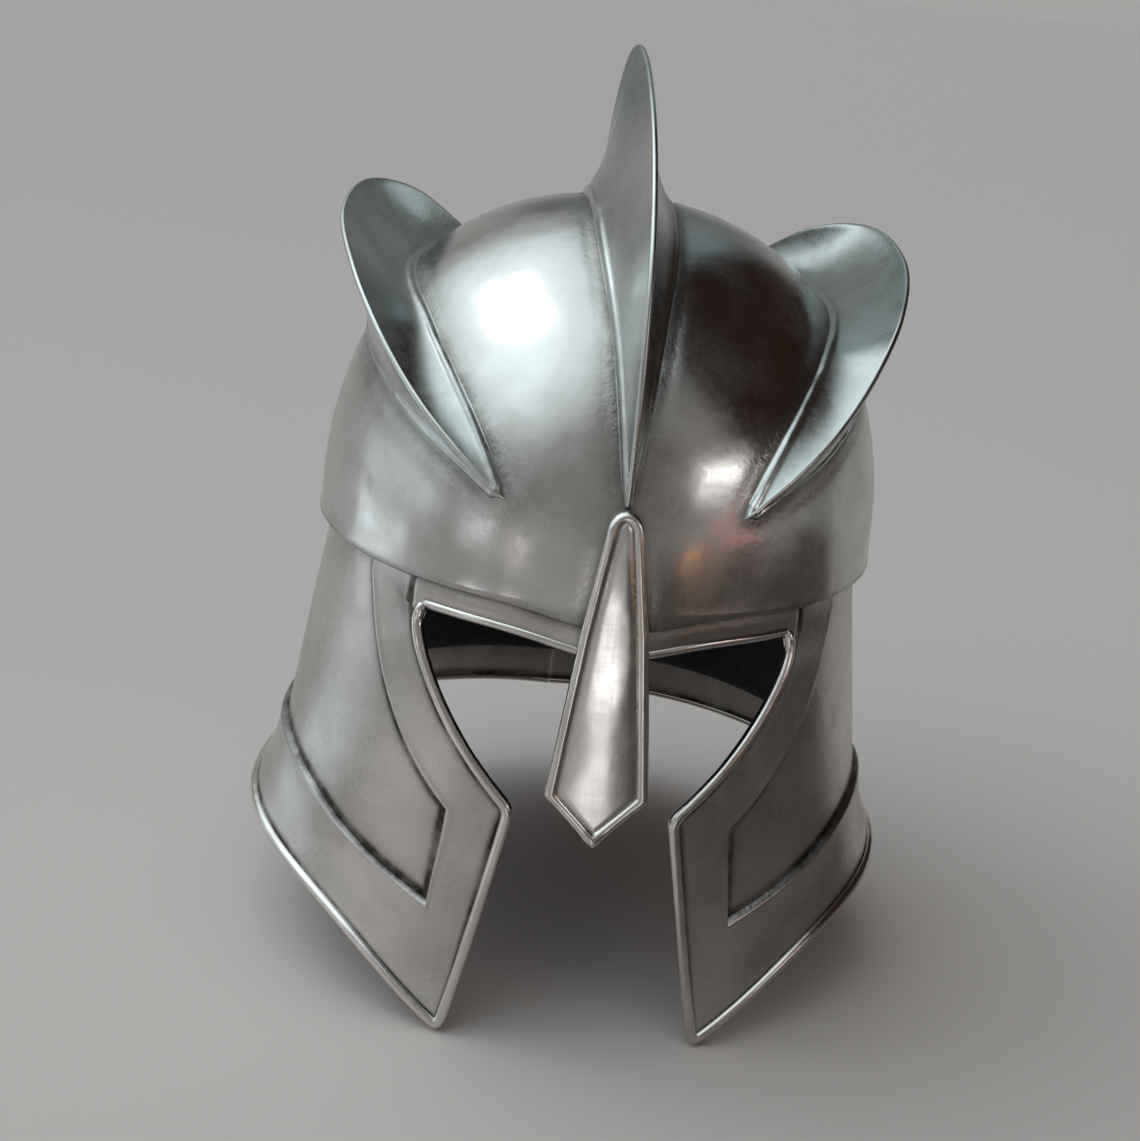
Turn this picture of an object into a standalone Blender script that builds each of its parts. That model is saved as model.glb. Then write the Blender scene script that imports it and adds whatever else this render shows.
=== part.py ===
"""An open-faced knight helmet of welded sheet steel, with its felt padding.

The helmet is in its worn position: +Z up, the face towards -Y, the wearer's left at +X.
The origin is where it sits on the head, in the middle of the crown pad's flat underside.
Heights in this file are measured from the cheek plates' tips, and level() turns them into Z.
Angles round the helmet start at the face and grow towards the ears and the back.
"""

import math

import bmesh
import bpy
from mathutils import Vector

# ---- driving dimensions, in metres ------------------------------------------------------------

SEAT_HEIGHT = 0.2740        # from the cheek tips up to the head's seat under the crown pad

SHEET = 0.0015              # sheet steel of the skull, brow strip and side panels
BORDER_SHEET = 0.0013       # the border that lies over the side panels
FIN_SHEET = 0.0010          # thinner sheet of the crest and the ear fins
GAP = 0.0003                # clear space between two pieces that touch

EQUATOR = 0.168             # height where the skull bowl starts to close in
SKULL_RISE = 0.126          # from the equator up to the top of the bowl
SKULL_HALF_WIDTH = 0.106
SKULL_FRONT = 0.1125        # forehead, in front of the bowl's middle
SKULL_BACK = 0.128
SKULL_FULLNESS = 2.3        # 2 is an ellipse, more is squarer
SKULL_EDGE = 0.170          # height of the bowl's lower edge
SKULL_DIP = 0.006           # how far that edge dips over the nose
SKULL_DIP_REACH = 14.0      # degrees

WALL_HALF_WIDTH = 0.1022    # side wall, at WALL_REFERENCE
WALL_FRONT = 0.1082
WALL_BACK = 0.1240
WALL_REFERENCE = 0.160
WALL_SPREAD = 0.15          # how fast the wall widens on its way down
WALL_SPREAD_BACK = 0.10
WALL_TOP = 0.176            # the wall's top edge, hidden under the bowl
ARC_RADIUS = 0.108          # mean radius that turns angles into lengths along the wall

PROUD = 0.0026              # the border's face stands this far off the wall
RIM_FLARE = 0.0050          # extra spread of the bottom edge, at the sides and the back
RIM_FLARE_TIP = 0.0015      # and at the cheek tips
UNDERLAP = 0.30             # how much of the border's width the side panel runs under

STRIP_PROUD = 0.0010        # the brow strip's face, off the wall's line
STRIP_DEPTH = 0.012         # bowl's edge to the edge of the eye openings
BROW_ROLL = 0.0036          # diameters of the rolled edges
EDGE_ROLL = 0.0042
NASAL_ROLL = 0.0042

NASAL_LEAN = 0.03           # how fast the nasal leans forward on its way down
NASAL_CURVE = 0.100         # radius of its face, from side to side
NASAL_OFFSET = 0.0027       # its middle surface, in front of the forehead
NASAL_SHEET = 0.0016

BASE_CLEAR = 0.0018         # outer face of a fin's foot, off the bowl
CREST_CENTRE = 0.200        # height of the point that the crest's angles turn about

PAD = 0.010                 # felt pads in the bowl
PAD_LOW = 0.181             # lower and upper edges of the pads round the bowl
PAD_HIGH = 0.226
FELT_CLEAR = 0.0012         # from the sheet to the felt, clear of the sheet's flats
BACK_CLEAR = 0.0008         # from the middle of the back to rolls and felt
CROWN_PAD_RADIUS = 0.052
CROWN_PAD_CLEAR = 0.0009    # from the bowl's inside to the crown pad
CROWN_PAD_EDGE = 0.006      # height of the crown pad's upright rim
CROWN_PAD_FLAT = 0.62       # share of its radius that is flat underneath
LINING = 0.003              # felt on the side walls
LINING_DROP = 0.006         # the lining's top edge, below the wall's
LINING_INSET = 3.0          # degrees that the lining stays behind the panel's front outline
LINING_LIFT = 0.0015        # and how far it stays above the panel's bottom edge

# ---- outlines: (angle in degrees, height) on the wall ------------------------------------------

EYE_CORNER = (39.6, 0.159)
EYE_BEND = (33.0, 0.1287)
CHEEK_CORNER = (13.5, 0.094)
CHEEK_TIP = (20.4, 0.0)
RIM_LINE = ((20.4, 0.0), (44.5, 0.033), (68.0, 0.0465), (92.0, 0.050), (135.0, 0.048), (180.0, 0.044))

PANEL_TOP = (54.0, 0.165)
PANEL_BEND = (45.0, 0.118)
PANEL_CORNER = (26.6, 0.088)
PANEL_TIP = (27.1, 0.051)
BORDER_TOP_ANGLE = 41.8     # the border's two edges where it meets the bowl
BORDER_TOP_INNER = 54.6
STRIP_END_ANGLE = 41.2      # the brow strip ends just before the border
BROW_ROLL_END_ANGLE = 37.7  # and its rolled edge before the eye opening's
BAND_LINE = ((27.1, 0.051), (45.0, 0.0645), (62.0, 0.0765), (80.0, 0.0835), (135.0, 0.083), (180.0, 0.079))

# nasal: (height, half width) of its outer outline, from the point up
NASAL_OUTLINE = ((0.086, 0.0), (0.104, 0.0181), (0.164, 0.0116), (0.198, 0.0066))
NASAL_TOP = 0.2065

# crest: (angle up from the forehead, height of the blade over the bowl)
CREST_BLADE = ((9.0, 0.0035), (30.0, 0.019), (45.0, 0.031), (70.0, 0.043),
               (106.0, 0.056), (140.0, 0.044), (160.0, 0.020), (171.0, 0.0035))
CREST_FOOT = ((9.0, 0.0032), (30.0, 0.0080), (62.0, 0.0145), (120.0, 0.0145), (171.0, 0.0032))

# ear fins: the free edge (x, y, height) and the two feet (angle, height) at the same stations
FIN_EDGE = ((0.0445, -0.1014, 0.2060), (0.0580, -0.0950, 0.2175), (0.0730, -0.0825, 0.2315),
            (0.0870, -0.0645, 0.2485), (0.0985, -0.0420, 0.2670), (0.1048, -0.0080, 0.2815),
            (0.0980, 0.0250, 0.2890), (0.0790, 0.0480, 0.2840), (0.0570, 0.0680, 0.2665))
FIN_INNER_FOOT = ((24.0, 0.2090), (28.5, 0.2205), (35.0, 0.2325), (45.0, 0.2450),
                  (60.0, 0.2560), (84.0, 0.2630), (107.0, 0.2650), (121.0, 0.2660), (134.0, 0.2650))
FIN_OUTER_FOOT = ((26.0, 0.2030), (33.0, 0.2095), (42.5, 0.2165), (53.0, 0.2240),
                  (67.0, 0.2320), (88.0, 0.2400), (108.0, 0.2470), (123.0, 0.2530), (137.0, 0.2590))

# felt pads round the bowl: (name, first angle, last angle)
BOWL_PADS = (("brow_pad", -48.0, 48.0), ("temple_pad_left", 53.0, 117.0),
             ("nape_pad", 122.0, 238.0), ("temple_pad_right", 243.0, 307.0))

# crown pad's upper face: (share of its radius, share where its height is taken on the bowl)
CROWN_PAD_RINGS = ((0.45, 0.50), (0.80, 0.85), (1.00, 1.05))

# ---- mesh density ------------------------------------------------------------------------------

BOWL_STEPS = 18             # front to back on each half
BOWL_ROWS = 8
CREST_STEPS = 18
FIN_STEPS = 16
BLADE_ROWS = 4
WALL_STEPS = 16
EYE_STEPS = 7
FRONT_STEPS = 4
RIM_STEPS = 12
RIM_CROWDING = 1.3          # more than 1 puts the rim's points closer together at the tip
BROW_STEPS = 18
PAD_STEPS = 9
CROWN_PAD_STEPS = 16
NASAL_STEP = 0.009          # longest piece of the nasal's bead


# ---- small helpers -----------------------------------------------------------------------------

def level(height):
    """Z of a height above the cheek tips."""
    return height - SEAT_HEIGHT


def blend(a, b, t):
    return a + (b - a) * t


def spaced(start, end, steps):
    """steps + 1 values from start to end."""
    return [blend(start, end, i / steps) for i in range(steps + 1)]


def smooth(points, x):
    """Value at x on a smooth curve through (x, value) points."""
    x = min(max(x, points[0][0]), points[-1][0])
    last = len(points) - 1
    i = next(k for k in range(last) if x <= points[k + 1][0])

    def slope(k):
        low, high = max(k - 1, 0), min(k + 1, last)
        return (points[high][1] - points[low][1]) / (points[high][0] - points[low][0])

    (x0, y0), (x1, y1) = points[i], points[i + 1]
    width = x1 - x0
    t = (x - x0) / width
    rise = y0 * (1 + 2 * t) * (1 - t) ** 2 + y1 * t * t * (3 - 2 * t)
    return rise + width * (slope(i) * t * (1 - t) ** 2 - slope(i + 1) * t * t * (1 - t))


def smooth_row(stations, t):
    """Point at t (0 to 1) on a smooth curve through equally spaced stations of numbers."""
    places = spaced(0.0, 1.0, len(stations) - 1)
    return [smooth(list(zip(places, values)), t) for values in zip(*stations)]


def bend(start, control, end, t):
    """Quadratic curve between two (angle, height) points."""
    return tuple(a * (1 - t) ** 2 + 2 * c * t * (1 - t) + b * t * t
                 for a, c, b in zip(start, control, end))


def inset(path, distance):
    """Moves a path of (angle, height) points sideways, into the sheet on its left."""
    flat = [Vector((math.radians(a) * ARC_RADIUS, h)) for a, h in path]
    moved = []
    for i, point in enumerate(flat):
        before = (point - flat[i - 1]).normalized() if i else None
        after = (flat[i + 1] - point).normalized() if i < len(flat) - 1 else None
        before = before or after
        after = after or before
        middle = (before + after).normalized()
        side = Vector((-middle.y, middle.x))
        moved.append(point + side * (distance / max(middle.dot(before), 0.3)))
    return [(math.degrees(p.x / ARC_RADIUS), p.y) for p in moved]


# ---- surfaces ----------------------------------------------------------------------------------

def oval(angle, half_width, front, back, height):
    """Point on a level oval whose front half and back half have their own depths."""
    turn = math.radians(angle)
    depth = front if math.cos(turn) > 0 else back
    return Vector((half_width * math.sin(turn), -depth * math.cos(turn), level(height)))


def skull_edge(angle):
    """Height of the bowl's lower edge."""
    return SKULL_EDGE - SKULL_DIP * math.exp(-(angle / SKULL_DIP_REACH) ** 2)


def skull_closing(height):
    """How much of its full plan the bowl has left at a height."""
    rise = min(max((height - EQUATOR) / SKULL_RISE, 0.0), 1.0)
    return (1.0 - rise ** SKULL_FULLNESS) ** (1.0 / SKULL_FULLNESS)


def skull(angle, height, out=0.0):
    """Point on the bowl's outer skin, or out metres off it."""
    closing = skull_closing(height)
    point = oval(angle, SKULL_HALF_WIDTH * closing, SKULL_FRONT * closing, SKULL_BACK * closing, height)
    return point + skull_normal(point) * out


def skull_normal(point):
    """Outward direction of the bowl at a point on it."""
    depth = SKULL_FRONT if point.y < 0 else SKULL_BACK
    across = math.hypot(point.x / SKULL_HALF_WIDTH, point.y / depth)
    rise = max(point.z - level(EQUATOR), 0.0) / SKULL_RISE
    power = SKULL_FULLNESS - 1.0
    plan = across ** (SKULL_FULLNESS - 2.0) if across > 0 else 0.0
    normal = Vector((plan * point.x / SKULL_HALF_WIDTH ** 2, plan * point.y / depth ** 2,
                     rise ** power / SKULL_RISE))
    return normal.normalized()


def wall(angle, height, out=0.0):
    """Point on the side wall's outer skin, or out metres off it."""
    drop = WALL_REFERENCE - height
    half_width = WALL_HALF_WIDTH + WALL_SPREAD * drop + out
    back = WALL_BACK + WALL_SPREAD_BACK * drop + out
    return oval(angle, half_width, WALL_FRONT + out, back, height)


def rim_height(angle):
    return smooth(RIM_LINE, angle)


def band_height(angle):
    return smooth(BAND_LINE, angle)


def flare(angle, height):
    """Extra spread of the border below its upper line."""
    top = band_height(angle)
    depth = min(max((top - height) / (top - rim_height(angle)), 0.0), 1.2)
    side = min(max((angle - CHEEK_TIP[0]) / 50.0, 0.0), 1.0)
    return blend(RIM_FLARE_TIP, RIM_FLARE, side) * depth ** 2


def border_point(angle, height, out):
    return wall(angle, height, out + flare(angle, height))


# ---- object makers -----------------------------------------------------------------------------

def material(name, colour, roughness, metallic):
    made = bpy.data.materials.new(name)
    made.use_nodes = True
    shader = made.node_tree.nodes["Principled BSDF"]
    shader.inputs["Base Color"].default_value = (*colour, 1.0)
    shader.inputs["Roughness"].default_value = roughness
    shader.inputs["Metallic"].default_value = metallic
    made.diffuse_color = (*colour, 1.0)
    return made


def satin_steel(name):
    return material(name + "_steel", (0.47, 0.45, 0.43), 0.34, 1.0)


def bright_steel(name):
    return material(name + "_bright_steel", (0.66, 0.65, 0.63), 0.22, 1.0)


def black_felt(name):
    return material(name + "_felt", (0.012, 0.012, 0.014), 0.95, 0.0)


def add(collection, name, data, finish):
    """Adds an object with its own material."""
    made = bpy.data.objects.new(name, data)
    data.materials.append(finish(name))
    collection.objects.link(made)
    return made


def sheet(collection, name, rows, thickness, finish):
    """A curved sheet from rows of points on its outer face, thickened inwards."""
    mesh = bpy.data.meshes.new(name)
    shape = bmesh.new()
    grid = [[shape.verts.new(point) for point in row] for row in rows]
    for low, high in zip(grid, grid[1:]):
        for i in range(len(low) - 1):
            shape.faces.new((low[i], low[i + 1], high[i + 1], high[i]))
    bmesh.ops.remove_doubles(shape, verts=shape.verts, dist=0.00001)
    shape.to_mesh(mesh)
    shape.free()
    mesh.shade_smooth()
    made = add(collection, name, mesh, finish)
    solid = made.modifiers.new("thickness", "SOLIDIFY")
    solid.thickness = thickness
    solid.offset = -1.0
    solid.use_even_offset = True
    return made


def roll(collection, name, points, diameter, closed=False):
    """A rolled edge: a round bar along the points."""
    data = bpy.data.curves.new(name, "CURVE")
    data.dimensions = "3D"
    data.bevel_depth = diameter / 2
    data.bevel_resolution = 2
    data.use_fill_caps = not closed
    path = data.splines.new("POLY")
    path.points.add(len(points) - 1)
    for knot, point in zip(path.points, points):
        knot.co = (*point, 1.0)
    path.use_cyclic_u = closed
    return add(collection, name, data, bright_steel)


def one_side(points, side):
    """Mirrors points to the wearer's right (side -1) or leaves them on the left (side 1)."""
    return [Vector((side * p.x, p.y, p.z)) for p in points]


def side_rows(rows, side):
    """Rows of a left-hand sheet, mirrored and turned over for the right-hand one."""
    if side > 0:
        return rows
    return [one_side(row, side)[::-1] for row in rows]


# ---- skull -------------------------------------------------------------------------------------

def skull_rows():
    """Rows of the left half of the bowl, from its lower edge to the top."""
    angles = spaced(0.0, 180.0, BOWL_STEPS)
    rows = [[skull(a, skull_edge(a)) for a in angles]]
    for k in range(1, BOWL_ROWS + 1):
        lift = math.sin(math.radians(90.0 * k / BOWL_ROWS)) ** (2.0 / SKULL_FULLNESS)
        rows.append([skull(a, EQUATOR + SKULL_RISE * min(lift, 1.0)) for a in angles])
    for row in rows:
        for point in row:
            point.x += GAP
    return rows


def make_skull(collection):
    """Two half bowls that meet along the middle."""
    rows = skull_rows()
    for label, side in (("left", 1), ("right", -1)):
        sheet(collection, "skull_" + label, side_rows(rows, side), SHEET, satin_steel)


# ---- crest and ear fins ------------------------------------------------------------------------

def skull_at_rise(rise_angle):
    """Point on the bowl's middle line, seen from the crest's centre at an angle from the front."""
    turn = math.radians(rise_angle)
    reach = Vector((0.0, -math.cos(turn), math.sin(turn)))
    near, far = SKULL_RISE / 2, SKULL_BACK * 1.25
    for _ in range(40):
        middle = (near + far) / 2
        height = CREST_CENTRE + reach.z * middle
        depth = SKULL_FRONT if reach.y < 0 else SKULL_BACK
        inside = height < EQUATOR + SKULL_RISE and abs(reach.y * middle) < depth * skull_closing(height)
        near, far = (middle, far) if inside else (near, middle)
    return reach, near


def skull_beside(point, across):
    """Point on the bowl beside a point of its middle line."""
    depth = SKULL_FRONT if point.y < 0 else SKULL_BACK
    plan = math.hypot(across / SKULL_HALF_WIDTH, point.y / depth)
    rise = max(1.0 - plan ** SKULL_FULLNESS, 0.0) ** (1.0 / SKULL_FULLNESS)
    beside = Vector((across, point.y, level(EQUATOR + SKULL_RISE * rise)))
    return beside + skull_normal(beside) * BASE_CLEAR


def blade_row(foot, control, edge):
    """Points from a fin's foot up to its free edge, hollow like a raised sheet."""
    return [Vector(bend(foot, control, edge, t)) for t in spaced(0.0, 1.0, BLADE_ROWS)]


def make_crest(collection):
    """Two raised cheeks that meet at the crest's free edge."""
    columns = []
    for angle in spaced(CREST_BLADE[0][0], CREST_BLADE[-1][0], CREST_STEPS):
        reach, radius = skull_at_rise(angle)
        middle = Vector((0.0, 0.0, level(CREST_CENTRE))) + reach * radius
        edge = middle + reach * smooth(CREST_BLADE, angle)
        edge.x = FIN_SHEET + GAP / 2
        foot = skull_beside(middle, smooth(CREST_FOOT, angle))
        control = blend(foot, edge, 0.30)
        control.x = blend(foot.x, edge.x, 0.85)
        columns.append(blade_row(foot, control, edge))
    for label, side in (("left", 1), ("right", -1)):
        sheet(collection, "crest_" + label, side_rows(columns, side), FIN_SHEET, satin_steel)


def fin_station(t):
    """The free edge, its thickness direction and both feet of a left fin, at t along it."""
    x, y, height = smooth_row(FIN_EDGE, t)
    edge = Vector((x, y, level(height)))
    ahead, behind = smooth_row(FIN_EDGE, min(t + 0.01, 1.0)), smooth_row(FIN_EDGE, max(t - 0.01, 0.0))
    along = Vector([a - b for a, b in zip(ahead, behind)]).normalized()
    inner = skull(*smooth_row(FIN_INNER_FOOT, t), BASE_CLEAR)
    outer = skull(*smooth_row(FIN_OUTER_FOOT, t), BASE_CLEAR)
    blade = edge - (inner + outer) / 2
    through = along.cross(blade).normalized()
    if through.dot(inner - outer) < 0:
        through = -through
    return edge, through, inner, outer


def fin_columns(inner_side):
    """Columns of one cheek of a left fin."""
    columns = []
    for t in spaced(0.0, 1.0, FIN_STEPS):
        edge, through, inner, outer = fin_station(t)
        foot, turn = (inner, 1) if inner_side else (outer, -1)
        face_edge = edge + through * (turn * (FIN_SHEET + GAP / 2))
        root = (inner + outer) / 2
        control = blend(blend(foot, root, 0.55), face_edge, 0.22)
        columns.append(blade_row(foot, control, face_edge))
    return columns


def make_fins(collection):
    """An inner and an outer cheek for each ear fin."""
    for label, side in (("left", 1), ("right", -1)):
        for face in ("inner", "outer"):
            columns = fin_columns(face == "inner")
            if face == "inner":
                columns = [column[::-1] for column in columns]
            sheet(collection, "fin_" + label + "_" + face, side_rows(columns, side), FIN_SHEET, satin_steel)


# ---- wall: side panels, borders, brow strip ----------------------------------------------------

def straight_line(start, end, steps):
    """Points on a straight line between two (angle, height) points."""
    return [tuple(blend(a, b, t) for a, b in zip(start, end)) for t in spaced(0.0, 1.0, steps)]


def eye_edge():
    return [bend(EYE_CORNER, EYE_BEND, CHEEK_CORNER, t) for t in spaced(0.0, 1.0, EYE_STEPS)]


def front_edge():
    return straight_line(CHEEK_CORNER, CHEEK_TIP, FRONT_STEPS)


def rim_edge(angles):
    return [(a, rim_height(a)) for a in angles]


def back_angles(start):
    """Angles from a starting one to the middle of the back, closer together at the front."""
    return [start + (180.0 - start) * t ** RIM_CROWDING for t in spaced(0.0, 1.0, RIM_STEPS)]


def outer_edge():
    """The border's whole outer outline: eye opening, front edge, bottom."""
    return eye_edge() + front_edge()[1:] + rim_edge(back_angles(CHEEK_TIP[0]))[1:]


def inner_edge():
    """The border's inner outline, station by station beside the outer one."""
    beside_eye = [bend(PANEL_TOP, PANEL_BEND, PANEL_CORNER, t) for t in spaced(0.0, 1.0, EYE_STEPS)]
    beside_front = straight_line(PANEL_CORNER, PANEL_TIP, FRONT_STEPS)
    beside_rim = [(a, band_height(a)) for a in back_angles(PANEL_TIP[0])]
    return beside_eye + beside_front[1:] + beside_rim[1:]


def border_rows():
    """Rows across the border, from its outer edge to its inner one."""
    outer = [(BORDER_TOP_ANGLE, WALL_TOP)] + inset(outer_edge(), EDGE_ROLL + GAP)
    inner = [(BORDER_TOP_INNER, WALL_TOP)] + inner_edge()
    outer[1] = (BORDER_TOP_ANGLE, outer[1][1])
    outer[-1] = (180.0, outer[-1][1])
    rows = []
    for share in (0.0, 0.5, 1.0):
        between = [(blend(a, c, share), blend(b, d, share)) for (a, b), (c, d) in zip(outer, inner)]
        rows.append([border_point(a, h, PROUD) for a, h in between])
    return rows


def make_borders(collection):
    """The proud border of each side, from the brow down and round to the middle of the back."""
    rows = border_rows()
    for row in rows:
        row[-1].x = GAP
    for label, side in (("left", 1), ("right", -1)):
        sheet(collection, "cheek_border_" + label, side_rows(rows, side), BORDER_SHEET, satin_steel)


def panel_front():
    """Front outline of the side panel, under the border."""
    to_tip = EYE_STEPS + FRONT_STEPS + 1
    outer = [(BORDER_TOP_ANGLE, WALL_TOP)] + outer_edge()[:to_tip]
    inner = [(BORDER_TOP_INNER, WALL_TOP)] + inner_edge()[:to_tip]
    return [(blend(c, a, UNDERLAP), blend(d, b, UNDERLAP)) for (a, b), (c, d) in zip(outer, inner)]


def panel_bottom(angle):
    """Height of the side panel's bottom edge, under the border."""
    return blend(band_height(angle), rim_height(angle), UNDERLAP)


def panel_rows(out, top=WALL_TOP, behind=0.0, lift=0.0, back_gap=GAP):
    """Rows of a sheet like the left side panel, from its front outline to the middle of the back."""
    rows = []
    for front_angle, front_height in panel_front():
        front_angle += behind
        share = (WALL_TOP - front_height) / (WALL_TOP - panel_bottom(front_angle))
        row = []
        for angle in spaced(front_angle, 180.0, WALL_STEPS):
            low = panel_bottom(angle) + lift
            row.append(wall(angle, blend(top, low, share), out))
        row[-1].x = back_gap
        rows.append(row)
    return rows


def make_side_panels(collection):
    rows = panel_rows(0.0)[::-1]
    for label, side in (("left", 1), ("right", -1)):
        sheet(collection, "side_panel_" + label, side_rows(rows, side), SHEET, satin_steel)


def make_edge_rolls(collection):
    """The wired edge of each side: eye opening, front edge, tip and bottom in one run."""
    middle = EDGE_ROLL / 2
    path = inset(outer_edge(), middle)
    path[0] = (path[0][0], EYE_CORNER[1])
    points = [border_point(a, h, PROUD - BORDER_SHEET / 2) for a, h in path]
    points[-1] = border_point(180.0, path[-1][1], PROUD - BORDER_SHEET / 2)
    points[-1].x = BACK_CLEAR
    for label, side in (("left", 1), ("right", -1)):
        roll(collection, "edge_roll_" + label, one_side(points, side), EDGE_ROLL)


def make_brow(collection):
    """The strip between the bowl and the eye openings, and its rolled edge."""
    angles = spaced(-STRIP_END_ANGLE, STRIP_END_ANGLE, BROW_STEPS)
    low = [wall(a, skull_edge(a) - STRIP_DEPTH + BROW_ROLL + GAP, STRIP_PROUD) for a in angles]
    high = [wall(a, WALL_TOP, STRIP_PROUD) for a in angles]
    sheet(collection, "brow_strip", [low, high], SHEET, satin_steel)
    middle = BROW_ROLL / 2
    line = [wall(a, skull_edge(a) - STRIP_DEPTH + middle, STRIP_PROUD - SHEET / 2)
            for a in spaced(-BROW_ROLL_END_ANGLE, BROW_ROLL_END_ANGLE, BROW_STEPS)]
    roll(collection, "brow_roll", line, BROW_ROLL)


# ---- nasal -------------------------------------------------------------------------------------

def nasal_point(x, height):
    """Point on the nasal's middle surface."""
    forehead = SKULL_FRONT * skull_closing(height) + NASAL_OFFSET
    lean = NASAL_LEAN * max(EQUATOR - height, 0.0)
    return Vector((x, -forehead - lean + x * x / (2 * NASAL_CURVE), level(height)))


def nasal_outline():
    """Right half of the outline, from the point up to the round top."""
    half = [(width, height) for height, width in NASAL_OUTLINE]
    radius, shoulder = half[-1]
    for turn in spaced(18.0, 90.0, 3):
        angle = math.radians(turn)
        half.append((radius * math.cos(angle), shoulder + (NASAL_TOP - shoulder) * math.sin(angle)))
    return half


def shrink_outline(outline, distance):
    """The half outline moved inwards by a distance."""
    moved = []
    for i, point in enumerate(outline):
        here = Vector(point)
        before = Vector(outline[i - 1]) if i else Vector((-outline[1][0], outline[1][1]))
        after = Vector(outline[i + 1]) if i < len(outline) - 1 else Vector((-outline[-2][0], outline[-2][1]))
        in_way, out_way = (here - before).normalized(), (after - here).normalized()
        middle = (in_way + out_way).normalized()
        side = Vector((-middle.y, middle.x))
        moved.append(here + side * (distance / max(middle.dot(in_way), 0.3)))
    return moved


def make_nasal(collection):
    """The nose guard and the rolled bead round it."""
    bead = shrink_outline(nasal_outline(), NASAL_ROLL / 2)
    dense = [bead[0]]
    for low, high in zip(bead, bead[1:]):
        steps = max(1, round((high - low).length / NASAL_STEP))
        dense += [low.lerp(high, k / steps) for k in range(1, steps + 1)]
    loop = [nasal_point(p.x, p.y) for p in dense]
    loop += [nasal_point(-p.x, p.y) for p in dense[-2:0:-1]]
    roll(collection, "nasal_roll", loop, NASAL_ROLL, closed=True)

    face = shrink_outline(nasal_outline(), NASAL_ROLL + GAP)
    widths = sorted((p.y, max(p.x, 0.0)) for p in face)
    heights = [h for h, _ in widths]
    levels = sorted(set(heights + spaced(heights[1], heights[2], 5)))
    rows = []
    for height in levels:
        half = straight(widths, height)
        rows.append([nasal_point(half * s, height) + Vector((0.0, -NASAL_SHEET / 2, 0.0))
                     for s in spaced(-1.0, 1.0, 4)])
    sheet(collection, "nasal_plate", rows, NASAL_SHEET, satin_steel)


def straight(points, x):
    """Value at x on straight lines through (x, value) points."""
    for (x0, y0), (x1, y1) in zip(points, points[1:]):
        if x <= x1:
            return blend(y0, y1, (x - x0) / (x1 - x0)) if x1 > x0 else y1
    return points[-1][1]


# ---- felt --------------------------------------------------------------------------------------

def make_bowl_pads(collection):
    """Pads round the inside of the bowl, above the wall's top edge."""
    for name, start, end in BOWL_PADS:
        rows = [[skull(a, h, -SHEET - FELT_CLEAR) for a in spaced(start, end, PAD_STEPS)]
                for h in spaced(PAD_LOW, PAD_HIGH, 3)]
        sheet(collection, name, rows, PAD, black_felt)


def make_crown_pad(collection):
    """A round pad under the top of the bowl, with a flat underside."""
    shape = bmesh.new()

    def ring(share, height):
        turns = [2 * math.pi * k / CROWN_PAD_STEPS for k in range(CROWN_PAD_STEPS)]
        radius = CROWN_PAD_RADIUS * share
        return [shape.verts.new((radius * math.cos(turn), radius * math.sin(turn), level(height)))
                for turn in turns]

    def under_bowl(share):
        plan = CROWN_PAD_RADIUS * share / min(SKULL_HALF_WIDTH, SKULL_FRONT)
        closing = (1.0 - plan ** SKULL_FULLNESS) ** (1.0 / SKULL_FULLNESS)
        return EQUATOR + SKULL_RISE * closing - SHEET - CROWN_PAD_CLEAR

    rim_top = under_bowl(CROWN_PAD_RINGS[-1][1])
    rings = [ring(share, under_bowl(taken_at)) for share, taken_at in CROWN_PAD_RINGS]
    rings += [ring(1.0, rim_top - CROWN_PAD_EDGE), ring(CROWN_PAD_FLAT, SEAT_HEIGHT)]
    for upper, lower in zip(rings, rings[1:]):
        for k in range(CROWN_PAD_STEPS):
            after = (k + 1) % CROWN_PAD_STEPS
            shape.faces.new((upper[k], lower[k], lower[after], upper[after]))
    shape.faces.new(rings[0])
    shape.faces.new(rings[-1][::-1])
    mesh = bpy.data.meshes.new("crown_pad")
    shape.to_mesh(mesh)
    shape.free()
    add(collection, "crown_pad", mesh, black_felt)


def make_linings(collection):
    """Thin felt on the inside of each side wall."""
    rows = panel_rows(-SHEET - FELT_CLEAR, WALL_TOP - LINING_DROP, LINING_INSET, LINING_LIFT,
                      BACK_CLEAR)[::-1]
    for label, side in (("left", 1), ("right", -1)):
        sheet(collection, "wall_lining_" + label, side_rows(rows, side), LINING, black_felt)


# ---- assembly ----------------------------------------------------------------------------------

def clear_scene():
    for old in list(bpy.data.objects):
        bpy.data.objects.remove(old, do_unlink=True)


def main():
    clear_scene()
    helmet = bpy.data.collections.new("knight_helmet")
    bpy.context.scene.collection.children.link(helmet)
    make_skull(helmet)
    make_crest(helmet)
    make_fins(helmet)
    make_side_panels(helmet)
    make_borders(helmet)
    make_brow(helmet)
    make_edge_rolls(helmet)
    make_nasal(helmet)
    make_bowl_pads(helmet)
    make_crown_pad(helmet)
    make_linings(helmet)


main()
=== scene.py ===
"""The look of the knight helmet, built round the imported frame.

The same frame as the CAD: +Z up, the face towards -Y, the wearer's left at +X, metres.
Heights are measured from the cheek plates' tips, and level() turns them into Z.
Angles round the helmet start at the face and grow towards the ears and the back.
"""

import math

import bmesh
import bpy
import numpy as np
from mathutils import Matrix, Vector, kdtree, noise


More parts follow.
